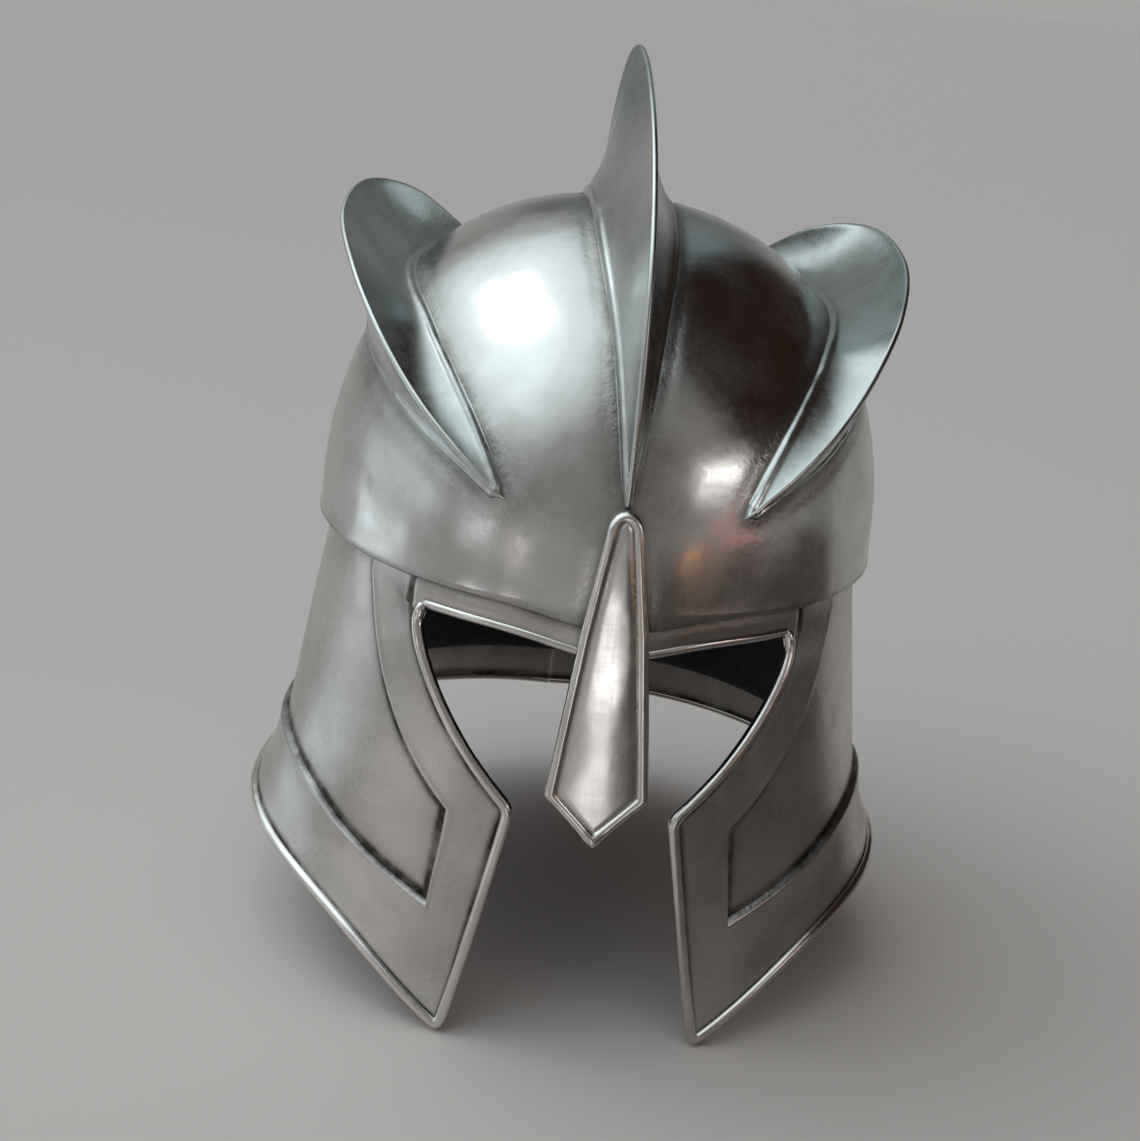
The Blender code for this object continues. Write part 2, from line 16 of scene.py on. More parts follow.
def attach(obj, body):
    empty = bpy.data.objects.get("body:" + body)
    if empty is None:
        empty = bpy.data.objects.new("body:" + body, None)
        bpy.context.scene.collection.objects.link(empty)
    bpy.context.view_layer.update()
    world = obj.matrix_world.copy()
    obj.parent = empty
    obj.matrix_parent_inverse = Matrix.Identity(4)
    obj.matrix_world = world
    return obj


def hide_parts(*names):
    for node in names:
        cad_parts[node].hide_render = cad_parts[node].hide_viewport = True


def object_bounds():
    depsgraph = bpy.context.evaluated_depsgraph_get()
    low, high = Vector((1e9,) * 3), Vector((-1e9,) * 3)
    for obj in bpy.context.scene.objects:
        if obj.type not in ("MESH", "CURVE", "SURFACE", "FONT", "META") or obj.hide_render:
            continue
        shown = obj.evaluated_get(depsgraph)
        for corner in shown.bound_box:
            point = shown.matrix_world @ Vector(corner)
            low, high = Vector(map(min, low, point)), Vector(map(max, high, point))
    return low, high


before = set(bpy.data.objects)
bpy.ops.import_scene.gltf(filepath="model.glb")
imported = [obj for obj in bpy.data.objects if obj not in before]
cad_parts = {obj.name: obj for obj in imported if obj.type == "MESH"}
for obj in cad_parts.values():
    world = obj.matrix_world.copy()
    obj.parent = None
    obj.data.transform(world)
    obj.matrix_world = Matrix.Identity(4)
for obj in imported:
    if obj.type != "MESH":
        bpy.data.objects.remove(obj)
CAD_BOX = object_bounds()

# ---- camera ----

IMAGE_SIDE = 1140
FOCAL_PIXELS = 1900.0
SENSOR_MM = 36.0
CAMERA_PLACE = (-0.0691, -0.7090, 0.1050)
CAMERA_AZIMUTH = -4.98      # degrees round from the face, towards the wearer's right
CAMERA_ELEVATION = 18.0
CAMERA_ROLL = 6.136

# ---- helmet, as in the CAD ----

SEAT_HEIGHT = 0.2740
SHEET = 0.0015
BORDER_SHEET = 0.0013
GAP = 0.0003

EQUATOR = 0.168
SKULL_RISE = 0.126
SKULL_HALF_WIDTH = 0.106
SKULL_FRONT = 0.1125
SKULL_BACK = 0.128
SKULL_FULLNESS = 2.3
SKULL_EDGE = 0.170
SKULL_DIP = 0.006
SKULL_DIP_REACH = 14.0

WALL_HALF_WIDTH = 0.1022
WALL_FRONT = 0.1082
WALL_BACK = 0.1240
WALL_REFERENCE = 0.160
WALL_SPREAD = 0.15
WALL_SPREAD_BACK = 0.10
WALL_TOP = 0.176
ARC_RADIUS = 0.108

PROUD = 0.0026
RIM_FLARE = 0.0050
RIM_FLARE_TIP = 0.0015
UNDERLAP = 0.30

STRIP_PROUD = 0.0010
STRIP_DEPTH = 0.012
BROW_ROLL = 0.0036
EDGE_ROLL = 0.0042
NASAL_ROLL = 0.0042

NASAL_LEAN = 0.03
NASAL_CURVE = 0.100
NASAL_OFFSET = 0.0027
NASAL_SHEET = 0.0016
NASAL_TOP = 0.2065

BASE_CLEAR = 0.0018
CREST_CENTRE = 0.200

EYE_CORNER = (39.6, 0.159)
EYE_BEND = (33.0, 0.1287)
CHEEK_CORNER = (13.5, 0.094)
CHEEK_TIP = (20.4, 0.0)
RIM_LINE = ((20.4, 0.0), (44.5, 0.033), (68.0, 0.0465), (92.0, 0.050), (135.0, 0.048), (180.0, 0.044))
PANEL_TOP = (54.0, 0.165)
PANEL_BEND = (45.0, 0.118)
PANEL_CORNER = (26.6, 0.088)
PANEL_TIP = (27.1, 0.051)
BORDER_TOP_ANGLE = 41.8
BORDER_TOP_INNER = 54.6
STRIP_END_ANGLE = 43.5
BROW_JOIN_ANGLE = 38.9      # where the brow's rolled edge meets the eye opening's
TOP_BLEND_LOW = 0.143       # the border sinks to the brow strip's level between these heights
TOP_BLEND_HIGH = 0.160
BAND_LINE = ((27.1, 0.051), (45.0, 0.0645), (62.0, 0.0765), (80.0, 0.0835), (135.0, 0.083), (180.0, 0.079))
NASAL_OUTLINE = ((0.086, 0.0), (0.104, 0.0181), (0.164, 0.0116), (0.198, 0.0066))
CREST_BLADE = ((3.2, 0.0006), (9.0, 0.0035), (30.0, 0.019), (45.0, 0.031), (70.0, 0.043),
               (106.0, 0.056), (140.0, 0.044), (160.0, 0.020), (171.0, 0.0035), (177.0, 0.0006))
CREST_FOOT = ((3.2, 0.0010), (9.0, 0.0032), (30.0, 0.0080), (62.0, 0.0145), (120.0, 0.0145),
              (171.0, 0.0032), (177.0, 0.0010))
FIN_EDGE = ((0.0445, -0.1014, 0.2060), (0.0580, -0.0950, 0.2175), (0.0730, -0.0825, 0.2315),
            (0.0870, -0.0645, 0.2485), (0.0985, -0.0420, 0.2670), (0.1048, -0.0080, 0.2815),
            (0.0980, 0.0250, 0.2890), (0.0790, 0.0480, 0.2840), (0.0570, 0.0680, 0.2665))
FIN_INNER_FOOT = ((24.0, 0.2090), (28.5, 0.2205), (35.0, 0.2325), (45.0, 0.2450),
                  (60.0, 0.2560), (84.0, 0.2630), (107.0, 0.2650), (121.0, 0.2660), (134.0, 0.2650))
FIN_OUTER_FOOT = ((26.0, 0.2030), (33.0, 0.2095), (42.5, 0.2165), (53.0, 0.2240),
                  (67.0, 0.2320), (88.0, 0.2400), (108.0, 0.2470), (123.0, 0.2530), (137.0, 0.2590))

PAD = 0.010
PAD_LOW = 0.181
PAD_HIGH = 0.226
FELT_CLEAR = 0.0012
BACK_CLEAR = 0.0008
CROWN_PAD_RADIUS = 0.052
CROWN_PAD_CLEAR = 0.0009
CROWN_PAD_EDGE = 0.006
CROWN_PAD_FLAT = 0.62
LINING = 0.003
LINING_DROP = 0.006
LINING_INSET = 3.0
LINING_LIFT = 0.0015
BOWL_PADS = (("brow_pad", -48.0, 48.0), ("temple_pad_left", 53.0, 117.0),
             ("nape_pad", 122.0, 238.0), ("temple_pad_right", 243.0, 307.0))
# (share of its radius, share whose place under the bowl it follows), then (share, way down)
CROWN_PAD_TOP = ((0.0, 0.5), (0.25, 0.5), (0.45, 0.55), (0.8, 0.88), (0.96, 1.05))
CROWN_PAD_SIDE = ((1.0, 0.35), (0.995, 0.8))
CROWN_PAD_UNDER = ((0.93, 0.18), (0.78, 0.66))

# ---- hand work: how the sheet departs from its plain form ----

FIN_TIP = (22.7, 0.2035)    # (angle, height) where a fin's front end runs out on the bowl
FIN_TAIL = 0.008            # length of the taper at its rear end
BLADE_EDGE = 0.0011         # radius of the crest's and fins' free edge
SHARP_TURN = math.radians(20.0)     # an outline that turns more than this at a point has a corner
SHARPEST = 0.3              # limits how far a moved outline's corner runs out
TINY = 0.00002              # half width that stands for a point
FOOT_LINES = []             # points of every foot and seam on the bowl, filled as they are made
NOISE_SHIFT = (7.31, 3.17, 5.71)    # distance in the noise between one seed and the next

# Unevenness: (amount, size of its features, seed of its noise)
DENTS = (0.00042, 0.034, 1)
SMALL_DENTS = (0.00010, 0.014, 2)
STROKES = (0.00036, 0.0125, 12)
NASAL_WAVES = (0.0005, 0.024, 3)
SHEET_WAVES = (0.00028, 0.045, 4)
ROLL_WAVES = ((0.05, 0.011, 5), (0.03, 0.004, 6))
WELD_WAVES = ((0.4, 0.010, 8), (0.25, 0.004, 9))
FELT_WAVES = (0.0003, 0.012, 11)
STROKES_TOP = EQUATOR + 0.045       # the upright strokes start here and are full 50 mm below
STROKES_REACH = 0.05
STROKE_STRETCH = 0.4
HAMMERED_FROM = 0.012       # the bowl is fully hammered from this far above its edge

# Ridges, grooves and dark marks: (distance from their line, width, height or darkness); the dark marks are
# painted shade, with some oxide
WELD = (0.0017, 0.0014, 0.0009)
FOOT_GROOVE = (0.0032, 0.0016, 0.0002)
FOOT_MARK = (0.0, 0.0028, 0.60)
FOOT_SHADE_SPREAD = (0.003, 0.007, 0.16)
BOWL_EDGE_RIDGE = (0.0, 0.002, 0.0004)
BOWL_EDGE_MARK = (0.0, 0.0012, 0.5)
BLADE_FOOT_MARK = (1.0, 2.5, 0.45)          # these two count the points of a section from its foot
BLADE_SHADE_MARK = (13.0, 3.0, 0.25)
NASAL_DISH = (0.0, 0.0019, 0.0009)
NASAL_MARK = (0.0, 0.0019, 1.0)
SEAM_MARK = (0.0, 0.0036, 0.9)
ROLL_GROOVE = (0.0, 0.0024, 0.0007)
ROLL_MARK = (0.0010, 0.0016, 1.3)
EYE_CORNER_MARK = (0.004, 0.005, 0.45)
BAND_HOLLOW = (0.55, 0.3)                   # in shares of the band's width
BAND_HOLLOW_DEPTH = 0.0006
STEP_RIDGE = (0.0021, 0.0014)
PANEL_STEP_MARK = (0.0008, 0.0020, 1.3)
PANEL_STEP_SHADE_SPREAD = (0.0, 0.006, 0.25)
STRIP_BELLY = (0.0054, 0.0035, 0.0006)
STRIP_SEAM_MARK = (0.0, 0.0034, 1.0)
STRIP_ROLL_MARK = (0.0, 0.0010, 0.8)
PAD_SEWING = (0.007, 0.0012, 0.06)

# ---- small helpers ----


def level(height):
    """Z of a height above the cheek tips."""
    return height - SEAT_HEIGHT


def blend(a, b, t):
    return a + (b - a) * t


def spaced(start, end, steps):
    """steps + 1 values from start to end."""
    return [blend(start, end, i / steps) for i in range(steps + 1)]


def ease(t):
    t = min(max(t, 0.0), 1.0)
    return t * t * (3 - 2 * t)


def hump(x, middle, width, height=1.0):
    return height * math.exp(-((x - middle) / width) ** 2)


def smooth(points, x):
    """Value at x on a smooth curve through (x, value) points."""
    x = min(max(x, points[0][0]), points[-1][0])
    last = len(points) - 1
    i = next(k for k in range(last) if x <= points[k + 1][0])

    def slope(k):
        low, high = max(k - 1, 0), min(k + 1, last)
        return (points[high][1] - points[low][1]) / (points[high][0] - points[low][0])

    (x0, y0), (x1, y1) = points[i], points[i + 1]
    width = x1 - x0
    t = (x - x0) / width
    rise = y0 * (1 + 2 * t) * (1 - t) ** 2 + y1 * t * t * (3 - 2 * t)
    return rise + width * (slope(i) * t * (1 - t) ** 2 - slope(i + 1) * t * t * (1 - t))


def smooth_row(stations, t):
    """Point at t (0 to 1) on a smooth curve through equally spaced stations of numbers."""
    places = spaced(0.0, 1.0, len(stations) - 1)
    return [smooth(list(zip(places, values)), t) for values in zip(*stations)]


def bend(start, control, end, t):
    """Quadratic curve between two points."""
    return tuple(a * (1 - t) ** 2 + 2 * c * t * (1 - t) + b * t * t
                 for a, c, b in zip(start, control, end))


def sideways(before, after, distance):
    """The move that takes a flat path's point to the left, from the path's ways before and after it."""
    middle = (before + after).normalized()
    return Vector((-middle.y, middle.x)) * (distance / max(middle.dot(before), SHARPEST))


def inset(path, distance):
    """Moves a path of (angle, height) points sideways, into the sheet on its left."""
    flat = [Vector((math.radians(a) * ARC_RADIUS, h)) for a, h in path]
    moved, corners = [], []
    for i, point in enumerate(flat):
        before = (point - flat[i - 1]).normalized() if i else None
        after = (flat[i + 1] - point).normalized() if i < len(flat) - 1 else None
        before = before or after
        after = after or before
        moved.append(point + sideways(before, after, distance))
        turn = math.acos(min(max(before.dot(after), -1.0), 1.0))
        if turn > SHARP_TURN:
            corners.append((i, distance * math.tan(turn / 2)))
    for corner, reach in corners:
        for j, point in enumerate(flat):
            if (point - flat[corner]).length < reach:
                moved[j] = moved[corner].copy()
    return [(math.degrees(p.x / ARC_RADIUS), p.y) for p in moved]


def wave(point, amount, size, seed):
    """Smooth noise up to about the amount either way, with features of a given size."""
    shift = Vector([seed * step for step in NOISE_SHIFT])
    return amount * noise.noise(Vector(point) / size + shift)


def mirrored(point, side):
    return Vector((side * point[0], point[1], point[2]))


def distance_finder(points):
    """A function that gives the distance from a place to the nearest of the points."""
    tree = kdtree.KDTree(len(points))
    for i, point in enumerate(points):
        tree.insert(point, i)
    tree.balance()
    return lambda place: tree.find(place)[2]


# ---- surfaces ----

FLARE_GROWS = 50.0          # degrees from the cheek's tip over which the flare grows to full
FLARE_LIMIT = 1.2


def oval(angle, half_width, front, back, height):
    """Point on a level oval whose front half and back half have their own depths."""
    turn = math.radians(angle)
    depth = front if math.cos(turn) > 0 else back
    return Vector((half_width * math.sin(turn), -depth * math.cos(turn), level(height)))


def skull_edge(angle):
    """Height of the bowl's lower edge."""
    return SKULL_EDGE - SKULL_DIP * math.exp(-(angle / SKULL_DIP_REACH) ** 2)


def round_off(share):
    """What is left of a bowl's height or plan at a share of the other."""
    return max(1.0 - share ** SKULL_FULLNESS, 0.0) ** (1.0 / SKULL_FULLNESS)


def skull_closing(height):
    """How much of its full plan the bowl has left at a height."""
    return round_off(min(max((height - EQUATOR) / SKULL_RISE, 0.0), 1.0))


def skull(angle, height, out=0.0):
    """Point on the bowl's outer skin, or out metres off it."""
    closing = skull_closing(height)
    point = oval(angle, SKULL_HALF_WIDTH * closing, SKULL_FRONT * closing, SKULL_BACK * closing, height)
    return point + skull_normal(point) * out


def skull_normal(point):
    """Outward direction of the bowl at a point on it."""
    depth = SKULL_FRONT if point.y < 0 else SKULL_BACK
    across = math.hypot(point.x / SKULL_HALF_WIDTH, point.y / depth)
    rise = max(point.z - level(EQUATOR), 0.0) / SKULL_RISE
    power = SKULL_FULLNESS - 1.0
    plan = across ** (SKULL_FULLNESS - 2.0) if across > 0 else 0.0
    normal = Vector((plan * point.x / SKULL_HALF_WIDTH ** 2, plan * point.y / depth ** 2,
                     rise ** power / SKULL_RISE))
    return normal.normalized()


def hammering(point):
    """How far the hand-raised bowl stands off its plain form: dents, and upright strokes low down."""
    strokes = ease((STROKES_TOP - SEAT_HEIGHT - point.z) / STROKES_REACH)
    tall = Vector((point.x, point.y, point.z * STROKE_STRETCH))
    return wave(point, *DENTS) + wave(point, *SMALL_DENTS) + strokes * wave(tall, *STROKES)


def wall(angle, height, out=0.0):
    """Point on the side wall's outer skin, or out metres off it."""
    drop = WALL_REFERENCE - height
    half_width = WALL_HALF_WIDTH + WALL_SPREAD * drop + out
    back = WALL_BACK + WALL_SPREAD_BACK * drop + out
    return oval(angle, half_width, WALL_FRONT + out, back, height)


def wall_ripple(point, angle):
    """Slight waviness of the beaten wall."""
    turn = math.radians(angle)
    out = wave((abs(point.x), point.y, point.z), *SHEET_WAVES)
    return Vector((math.sin(turn) * out, -math.cos(turn) * out, 0.0))


def rim_height(angle):
    return smooth(RIM_LINE, angle)


def band_height(angle):
    return smooth(BAND_LINE, angle)


def border_point(angle, height, out):
    """Point on the wall, with the border's extra spread below its upper line."""
    top = band_height(angle)
    depth = min(max((top - height) / (top - rim_height(angle)), 0.0), FLARE_LIMIT)
    side = min(max((angle - CHEEK_TIP[0]) / FLARE_GROWS, 0.0), 1.0)
    return wall(angle, height, out + blend(RIM_FLARE_TIP, RIM_FLARE, side) * depth ** 2)


# ---- mesh makers ----

JOIN_WITHIN = 0.000002
TUBE_SIDES = 14
ROUND_END = (0.45, 0.75, 0.92, 0.98, 1.0)       # a rolled edge's radius from its end inwards


def mesh_object(name, points, faces, marks=None):
    """A smooth-shaded mesh. marks are 0 to 1 for each point: painted crease shade with some oxide, or a
    card's glow.
    """
    mesh = bpy.data.meshes.new(name)
    mesh.from_pydata([tuple(p) for p in points], [], faces)
    if marks is not None:
        layer = mesh.attributes.new("crease", "FLOAT", "POINT")
        layer.data.foreach_set("value", np.asarray(marks, np.float32))
    shape = bmesh.new()
    shape.from_mesh(mesh)
    bmesh.ops.remove_doubles(shape, verts=shape.verts, dist=JOIN_WITHIN)
    bmesh.ops.dissolve_degenerate(shape, edges=shape.edges, dist=JOIN_WITHIN)
    bmesh.ops.recalc_face_normals(shape, faces=shape.faces)
    shape.to_mesh(mesh)
    shape.free()
    mesh.shade_smooth()
    made = bpy.data.objects.new(name, mesh)
    bpy.context.scene.collection.objects.link(made)
    return made


def grid_normals(grid, loop):
    """Unit normals of a grid of points, rows by columns."""
    if loop:
        along = np.roll(grid, -1, 1) - np.roll(grid, 1, 1)
    else:
        along = np.gradient(grid, axis=1)
    up = np.gradient(grid, axis=0)
    normal = np.cross(along, up)
    length = np.linalg.norm(normal, axis=2, keepdims=True)
    return normal / np.maximum(length, 1e-12)


def grid_faces(count_rows, count, loop=False):
    """Faces between the points of a grid, which are numbered row by row. loop joins a row's ends."""
    faces = []
    for r in range(count_rows - 1):
        for c in range(count if loop else count - 1):
            a, b = r * count + c, r * count + (c + 1) % count
            faces.append((a, b, b + count, a + count))
    return faces


def skin_faces(count_rows, count, loop=False):
    """Faces of a sheet's outer and inner skin, whose points follow each other."""
    outer = grid_faces(count_rows, count, loop)
    back = count_rows * count
    return outer + [tuple(back + i for i in face[::-1]) for face in outer]


def open_edge(count_rows, count, loop=False):
    """The open edge of a grid, and the point beside each of its points on the sheet."""
    if loop:
        return list(range(count)), list(range(count, 2 * count))
    around, inwards = [], []
    last_row, last = count_rows - 1, count - 1
    for r, c in ([(0, c) for c in range(count)] + [(r, last) for r in range(1, count_rows)]
                 + [(last_row, c) for c in range(last - 1, -1, -1)]
                 + [(r, 0) for r in range(last_row - 1, 0, -1)]):
        near_r = min(max(r, 1), last_row - 1)
        near_c = min(max(c, 1), last - 1)
        around.append(r * count + c)
        inwards.append(near_r * count + near_c)
    return around, inwards


def plate(name, rows, thickness, loop=False):
    """A curved sheet with rounded edges from rows of (point, crease mark) on its outer face."""
    outer = np.array([[tuple(p) for p, _ in row] for row in rows])
    inner = outer - grid_normals(outer, loop) * thickness
    count_rows, count = outer.shape[:2]
    points = [*outer.reshape(-1, 3), *inner.reshape(-1, 3)]
    marks = 2 * [min(mark, 1.0) for row in rows for _, mark in row]
    faces = skin_faces(count_rows, count, loop)
    back = count_rows * count
    first = len(points)
    edge, inwards = open_edge(count_rows, count, loop)
    for here, beside in zip(edge, inwards):
        away = points[here] - points[beside]
        away = away / max(np.linalg.norm(away), 1e-9)
        points.append((points[here] + points[back + here]) / 2 + away * (thickness / 2))
        marks.append(marks[here])
    for i in range(len(edge)):
        j = (i + 1) % len(edge)
        faces.append((edge[i], first + i, first + j, edge[j]))
        faces.append((first + i, back + edge[i], back + edge[j], first + j))
    return mesh_object(name, points, faces, marks)


def side_plate(name, rows, thickness, side):
    """A plate from the left side's rows of (point, crease mark), mirrored for side -1."""
    if side < 0:
        rows = [[(mirrored(point, side), mark) for point, mark in row[::-1]] for row in rows]
    return plate(name, rows, thickness)


def bar(name, sections, marks):
    """A closed solid from closed cross-sections, with its ends filled in."""
    count = len(sections[0])
    points = [p for section in sections for p in section]
    faces = grid_faces(len(sections), count, True)
    for row, turn in ((0, -1), (len(sections) - 1, 1)):
        tip = len(points)
        points.append(sum((Vector(p) for p in sections[row]), Vector()) / count)
        for c in range(count):
            pair = (row * count + c, row * count + (c + 1) % count)
            faces.append((tip, *pair[::turn]))
    return mesh_object(name, points, faces, marks + [1.0, 1.0])


def tube(name, points, radius, closed=False, lumps=(), round_last=True):
    """A hand-rolled edge of slightly uneven thickness, with rounded ends.

    lumps are (place, reach, amount) of weld that thickens it."""
    path = [Vector(p) for p in points]
    last = len(path) - 1
    inmost = len(ROUND_END) - 1
    normal = None
    sections = []
    for i, here in enumerate(path):
        ahead = path[(i + 1) % len(path)] if closed else path[min(i + 1, last)]
        behind = path[i - 1] if closed or i else here
        along = (ahead - behind).normalized()
        if normal is None:
            normal = along.orthogonal().normalized()
        normal = (normal - along * normal.dot(along)).normalized()
        other = along.cross(normal)
        size = radius * (1.0 + sum(wave(here, *kind) for kind in ROLL_WAVES)
                         + sum(hump((here - place).length, 0.0, reach, amount)
                               for place, reach, amount in lumps))
        from_end = min(i, last - i) if round_last else i
        size *= ROUND_END[inmost if closed else min(from_end, inmost)]
        sections.append([here + (normal * math.cos(t) + other * math.sin(t)) * size
                         for t in (2 * math.pi * k / TUBE_SIDES for k in range(TUBE_SIDES))])
    if not closed:
        return bar(name, sections, [0.0] * (TUBE_SIDES * len(path)))
    ring = [p for section in sections + sections[:1] for p in section]
    return mesh_object(name, ring, grid_faces(len(path) + 1, TUBE_SIDES, True), [0.0] * len(ring))


def rounded(path, passes):
    """The path with its corners rounded off."""
    for _ in range(passes):
        middle = [tuple((a + 2 * b + c) / 4 for a, b, c in zip(*three))
                  for three in zip(path, path[1:], path[2:])]
        path = [path[0]] + middle + [path[-1]]
    return path


def resample(path, spacing):
    """Points evenly spaced along a path of (angle, height) or 3-D points."""
    path = [np.array(p, float) for p in path]
    scale = np.array([math.radians(1.0) * ARC_RADIUS, 1.0]) if len(path[0]) == 2 else np.ones(3)
    reach = [0.0]
    for a, b in zip(path, path[1:]):
        reach.append(reach[-1] + float(np.linalg.norm((b - a) * scale)))
    steps = max(2, round(reach[-1] / spacing))
    wanted = np.linspace(0.0, reach[-1], steps + 1)
    columns = [np.interp(wanted, reach, [p[k] for p in path]) for k in range(len(path[0]))]
    return [tuple(values) for values in zip(*columns)]


def paint(piece, material):
    piece.data.materials.clear()
    piece.data.materials.append(material)


def finish_piece(piece, material, nodes):
    """Gives a piece its material and hangs it on the frame in place of its CAD nodes."""
    paint(piece, material)
    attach(piece, "root")
    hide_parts(*nodes)


# ---- materials ----

# Dark brown that the crease marks paint in: painted shade in creases, beside steps and under overlapping
# edges, with some oxide.
SHADE_AND_OXIDE = (0.050, 0.042, 0.035)


class Nodes:
    """Short ways to add shader nodes to a material or a world."""

    def __init__(self, owner, place="Object"):
        owner.use_nodes = True
        self.tree = owner.node_tree
        self.place = self.add("ShaderNodeTexCoord").outputs[place]

    def fill(self, node, inputs):
        """Gives a node's sockets a number, a vector, a colour or another node's output."""
        for key, value in inputs.items():
            socket = node.inputs[key]
            if isinstance(value, bpy.types.NodeSocket):
                self.tree.links.new(value, socket)
            elif socket.type == "RGBA":
                socket.default_value = (*value, 1.0)
            else:
                socket.default_value = value

    def add(self, kind, inputs=None, **settings):
        node = self.tree.nodes.new(kind)
        for key, value in settings.items():
            setattr(node, key, value)
        self.fill(node, inputs or {})
        return node

    def shade(self, inputs):
        """Fills in the material's own shader."""
        self.fill(self.tree.nodes["Principled BSDF"], inputs)

    def stretched(self, scale, turn):
        mapping = self.add("ShaderNodeMapping", {"Scale": scale, "Rotation": turn, "Vector": self.place})
        return mapping.outputs["Vector"]

    def noise(self, scale, detail, rough, vector=None, distortion=0.0):
        inputs = {"Scale": scale, "Detail": detail, "Roughness": rough, "Distortion": distortion,
                  "Vector": vector or self.place}
        return self.add("ShaderNodeTexNoise", inputs).outputs["Fac"]

    def ranged(self, value, low, high, to_low=0.0, to_high=1.0):
        inputs = {"Value": value, "From Min": low, "From Max": high, "To Min": to_low, "To Max": to_high}
        return self.add("ShaderNodeMapRange", inputs, interpolation_type="SMOOTHSTEP").outputs["Result"]

    def math(self, operation, a, b):
        return self.add("ShaderNodeMath", {0: a, 1: b}, operation=operation).outputs[0]

    def mix(self, share, a, b):
        return self.add("ShaderNodeMix", {0: share, 6: a, 7: b}, data_type="RGBA").outputs[2]

    def marks(self):
        return self.add("ShaderNodeAttribute", attribute_name="crease").outputs["Fac"]

    def bump(self, height, distance, strength=1.0, under=None):
        inputs = {"Height": height, "Distance": distance, "Strength": strength}
        if under is not None:
            inputs["Normal"] = under
        return self.add("ShaderNodeBump", inputs).outputs["Normal"]


def steel(name, bright, shade, rough, polish_spread, scratch_depth):
    """Hand-finished steel: cloudy polish, fine scratches, pits in the creases, and a dark colour there that
    is painted shade with some oxide.
    """
    made = bpy.data.materials.new(name)
    n = Nodes(made)
    crease = n.marks()
    clouds = n.noise(26.0, 4.0, 0.6, distortion=0.4)
    polished = n.mix(n.ranged(clouds, 0.35, 0.68), shade, bright)
    speckle = n.noise(300.0, 3.0, 0.6)
    patches = n.noise(55.0, 3.0, 0.55)
    # The crease marks darken the colour towards the dark brown: painted shade, with some oxide.
    broken = n.math("MULTIPLY", crease, n.ranged(patches, 0.3, 0.62, 0.55, 1.0))
    crease_shade_and_oxide = n.math("MULTIPLY", broken, n.ranged(speckle, 0.25, 0.55, 0.85, 1.0))

    fine = n.noise(1.0, 3.0, 0.6, n.stretched((1300.0, 1300.0, 50.0), (0.12, 0.09, 0.0)))
    crossing = n.noise(1.0, 3.0, 0.6, n.stretched((60.0, 1200.0, 1200.0), (0.0, 0.35, 0.5)))
    scratches = n.math("ADD", fine, n.math("MULTIPLY", crossing, 0.7))
    rub = n.ranged(n.noise(45.0, 3.0, 0.55, distortion=0.6), 0.3, 0.7, -polish_spread, polish_spread)
    streaks = n.ranged(scratches, 0.6, 1.1, -0.02, 0.03)
    roughness = n.math("ADD", n.math("ADD", rub, streaks), rough)
    roughness = n.math("ADD", roughness, n.math("MULTIPLY", crease_shade_and_oxide, 0.22))

    ground = n.bump(scratches, scratch_depth, 0.5)
    dents = n.bump(n.noise(70.0, 2.0, 0.5), 0.00025, 0.5, ground)
    welded = n.math("MULTIPLY", crease, n.noise(520.0, 3.0, 0.6))
    n.shade({"Metallic": 1.0, "Base Color": n.mix(crease_shade_and_oxide, polished, SHADE_AND_OXIDE), "Roughness": roughness,
             "Normal": n.bump(welded, 0.0006, 0.7, dents)})
    return made


def felt(name):
    """Black wool felt: matted fibres, faint grey hairs, soft sheen."""
    made = bpy.data.materials.new(name)
    n = Nodes(made)
    clumps = n.noise(240.0, 6.0, 0.75)
    hairs = n.noise(1.0, 3.0, 0.6, n.stretched((900.0, 2600.0, 700.0), (0.6, 0.3, 0.9)), 1.4)
    wool = n.mix(n.ranged(clumps, 0.35, 0.7), (0.004, 0.004, 0.005), (0.022, 0.022, 0.025))
    colour = n.mix(n.ranged(hairs, 0.66, 0.75, 0.0, 0.5), wool, (0.075, 0.07, 0.068))
    matted = n.bump(n.noise(420.0, 5.0, 0.7), 0.0009)
    n.shade({"Roughness": 0.96, "Sheen Weight": 0.25, "Sheen Roughness": 0.5, "Base Color": colour,
             "Normal": n.bump(hairs, 0.0004, 0.8, matted)})
    return made


# Name, bright and dull colour, roughness and its spread, depth of the scratches
SKULL_STEEL = steel("skull_polished_steel", (0.60, 0.60, 0.59), (0.50, 0.49, 0.475), 0.22, 0.05, 0.000003)
# The fins' colours are darker than the bowl's: painted shade where their faces mirror the dome and crest.
FIN_STEEL = steel("fin_steel_polished_and_painted_dark", (0.56, 0.59, 0.58), (0.46, 0.47, 0.455), 0.28, 0.06, 0.000004)
SIDE_STEEL = steel("side_satin_steel", (0.56, 0.545, 0.525), (0.47, 0.45, 0.43), 0.30, 0.05, 0.000004)
EDGE_STEEL = steel("edge_bright_steel", (0.72, 0.70, 0.68), (0.58, 0.55, 0.52), 0.21, 0.05, 0.000004)
# The nasal's colours are brighter than the other steel's: a painted highlight in place of a light low in
# front, besides its finer polish.
NASAL_STEEL = steel("nasal_steel_polished_and_painted_bright", (0.80, 0.78, 0.77), (0.68, 0.66, 0.64), 0.20, 0.05, 0.000003)
BLACK_FELT = felt("black_wool_felt")


# ---- crest and fins ----

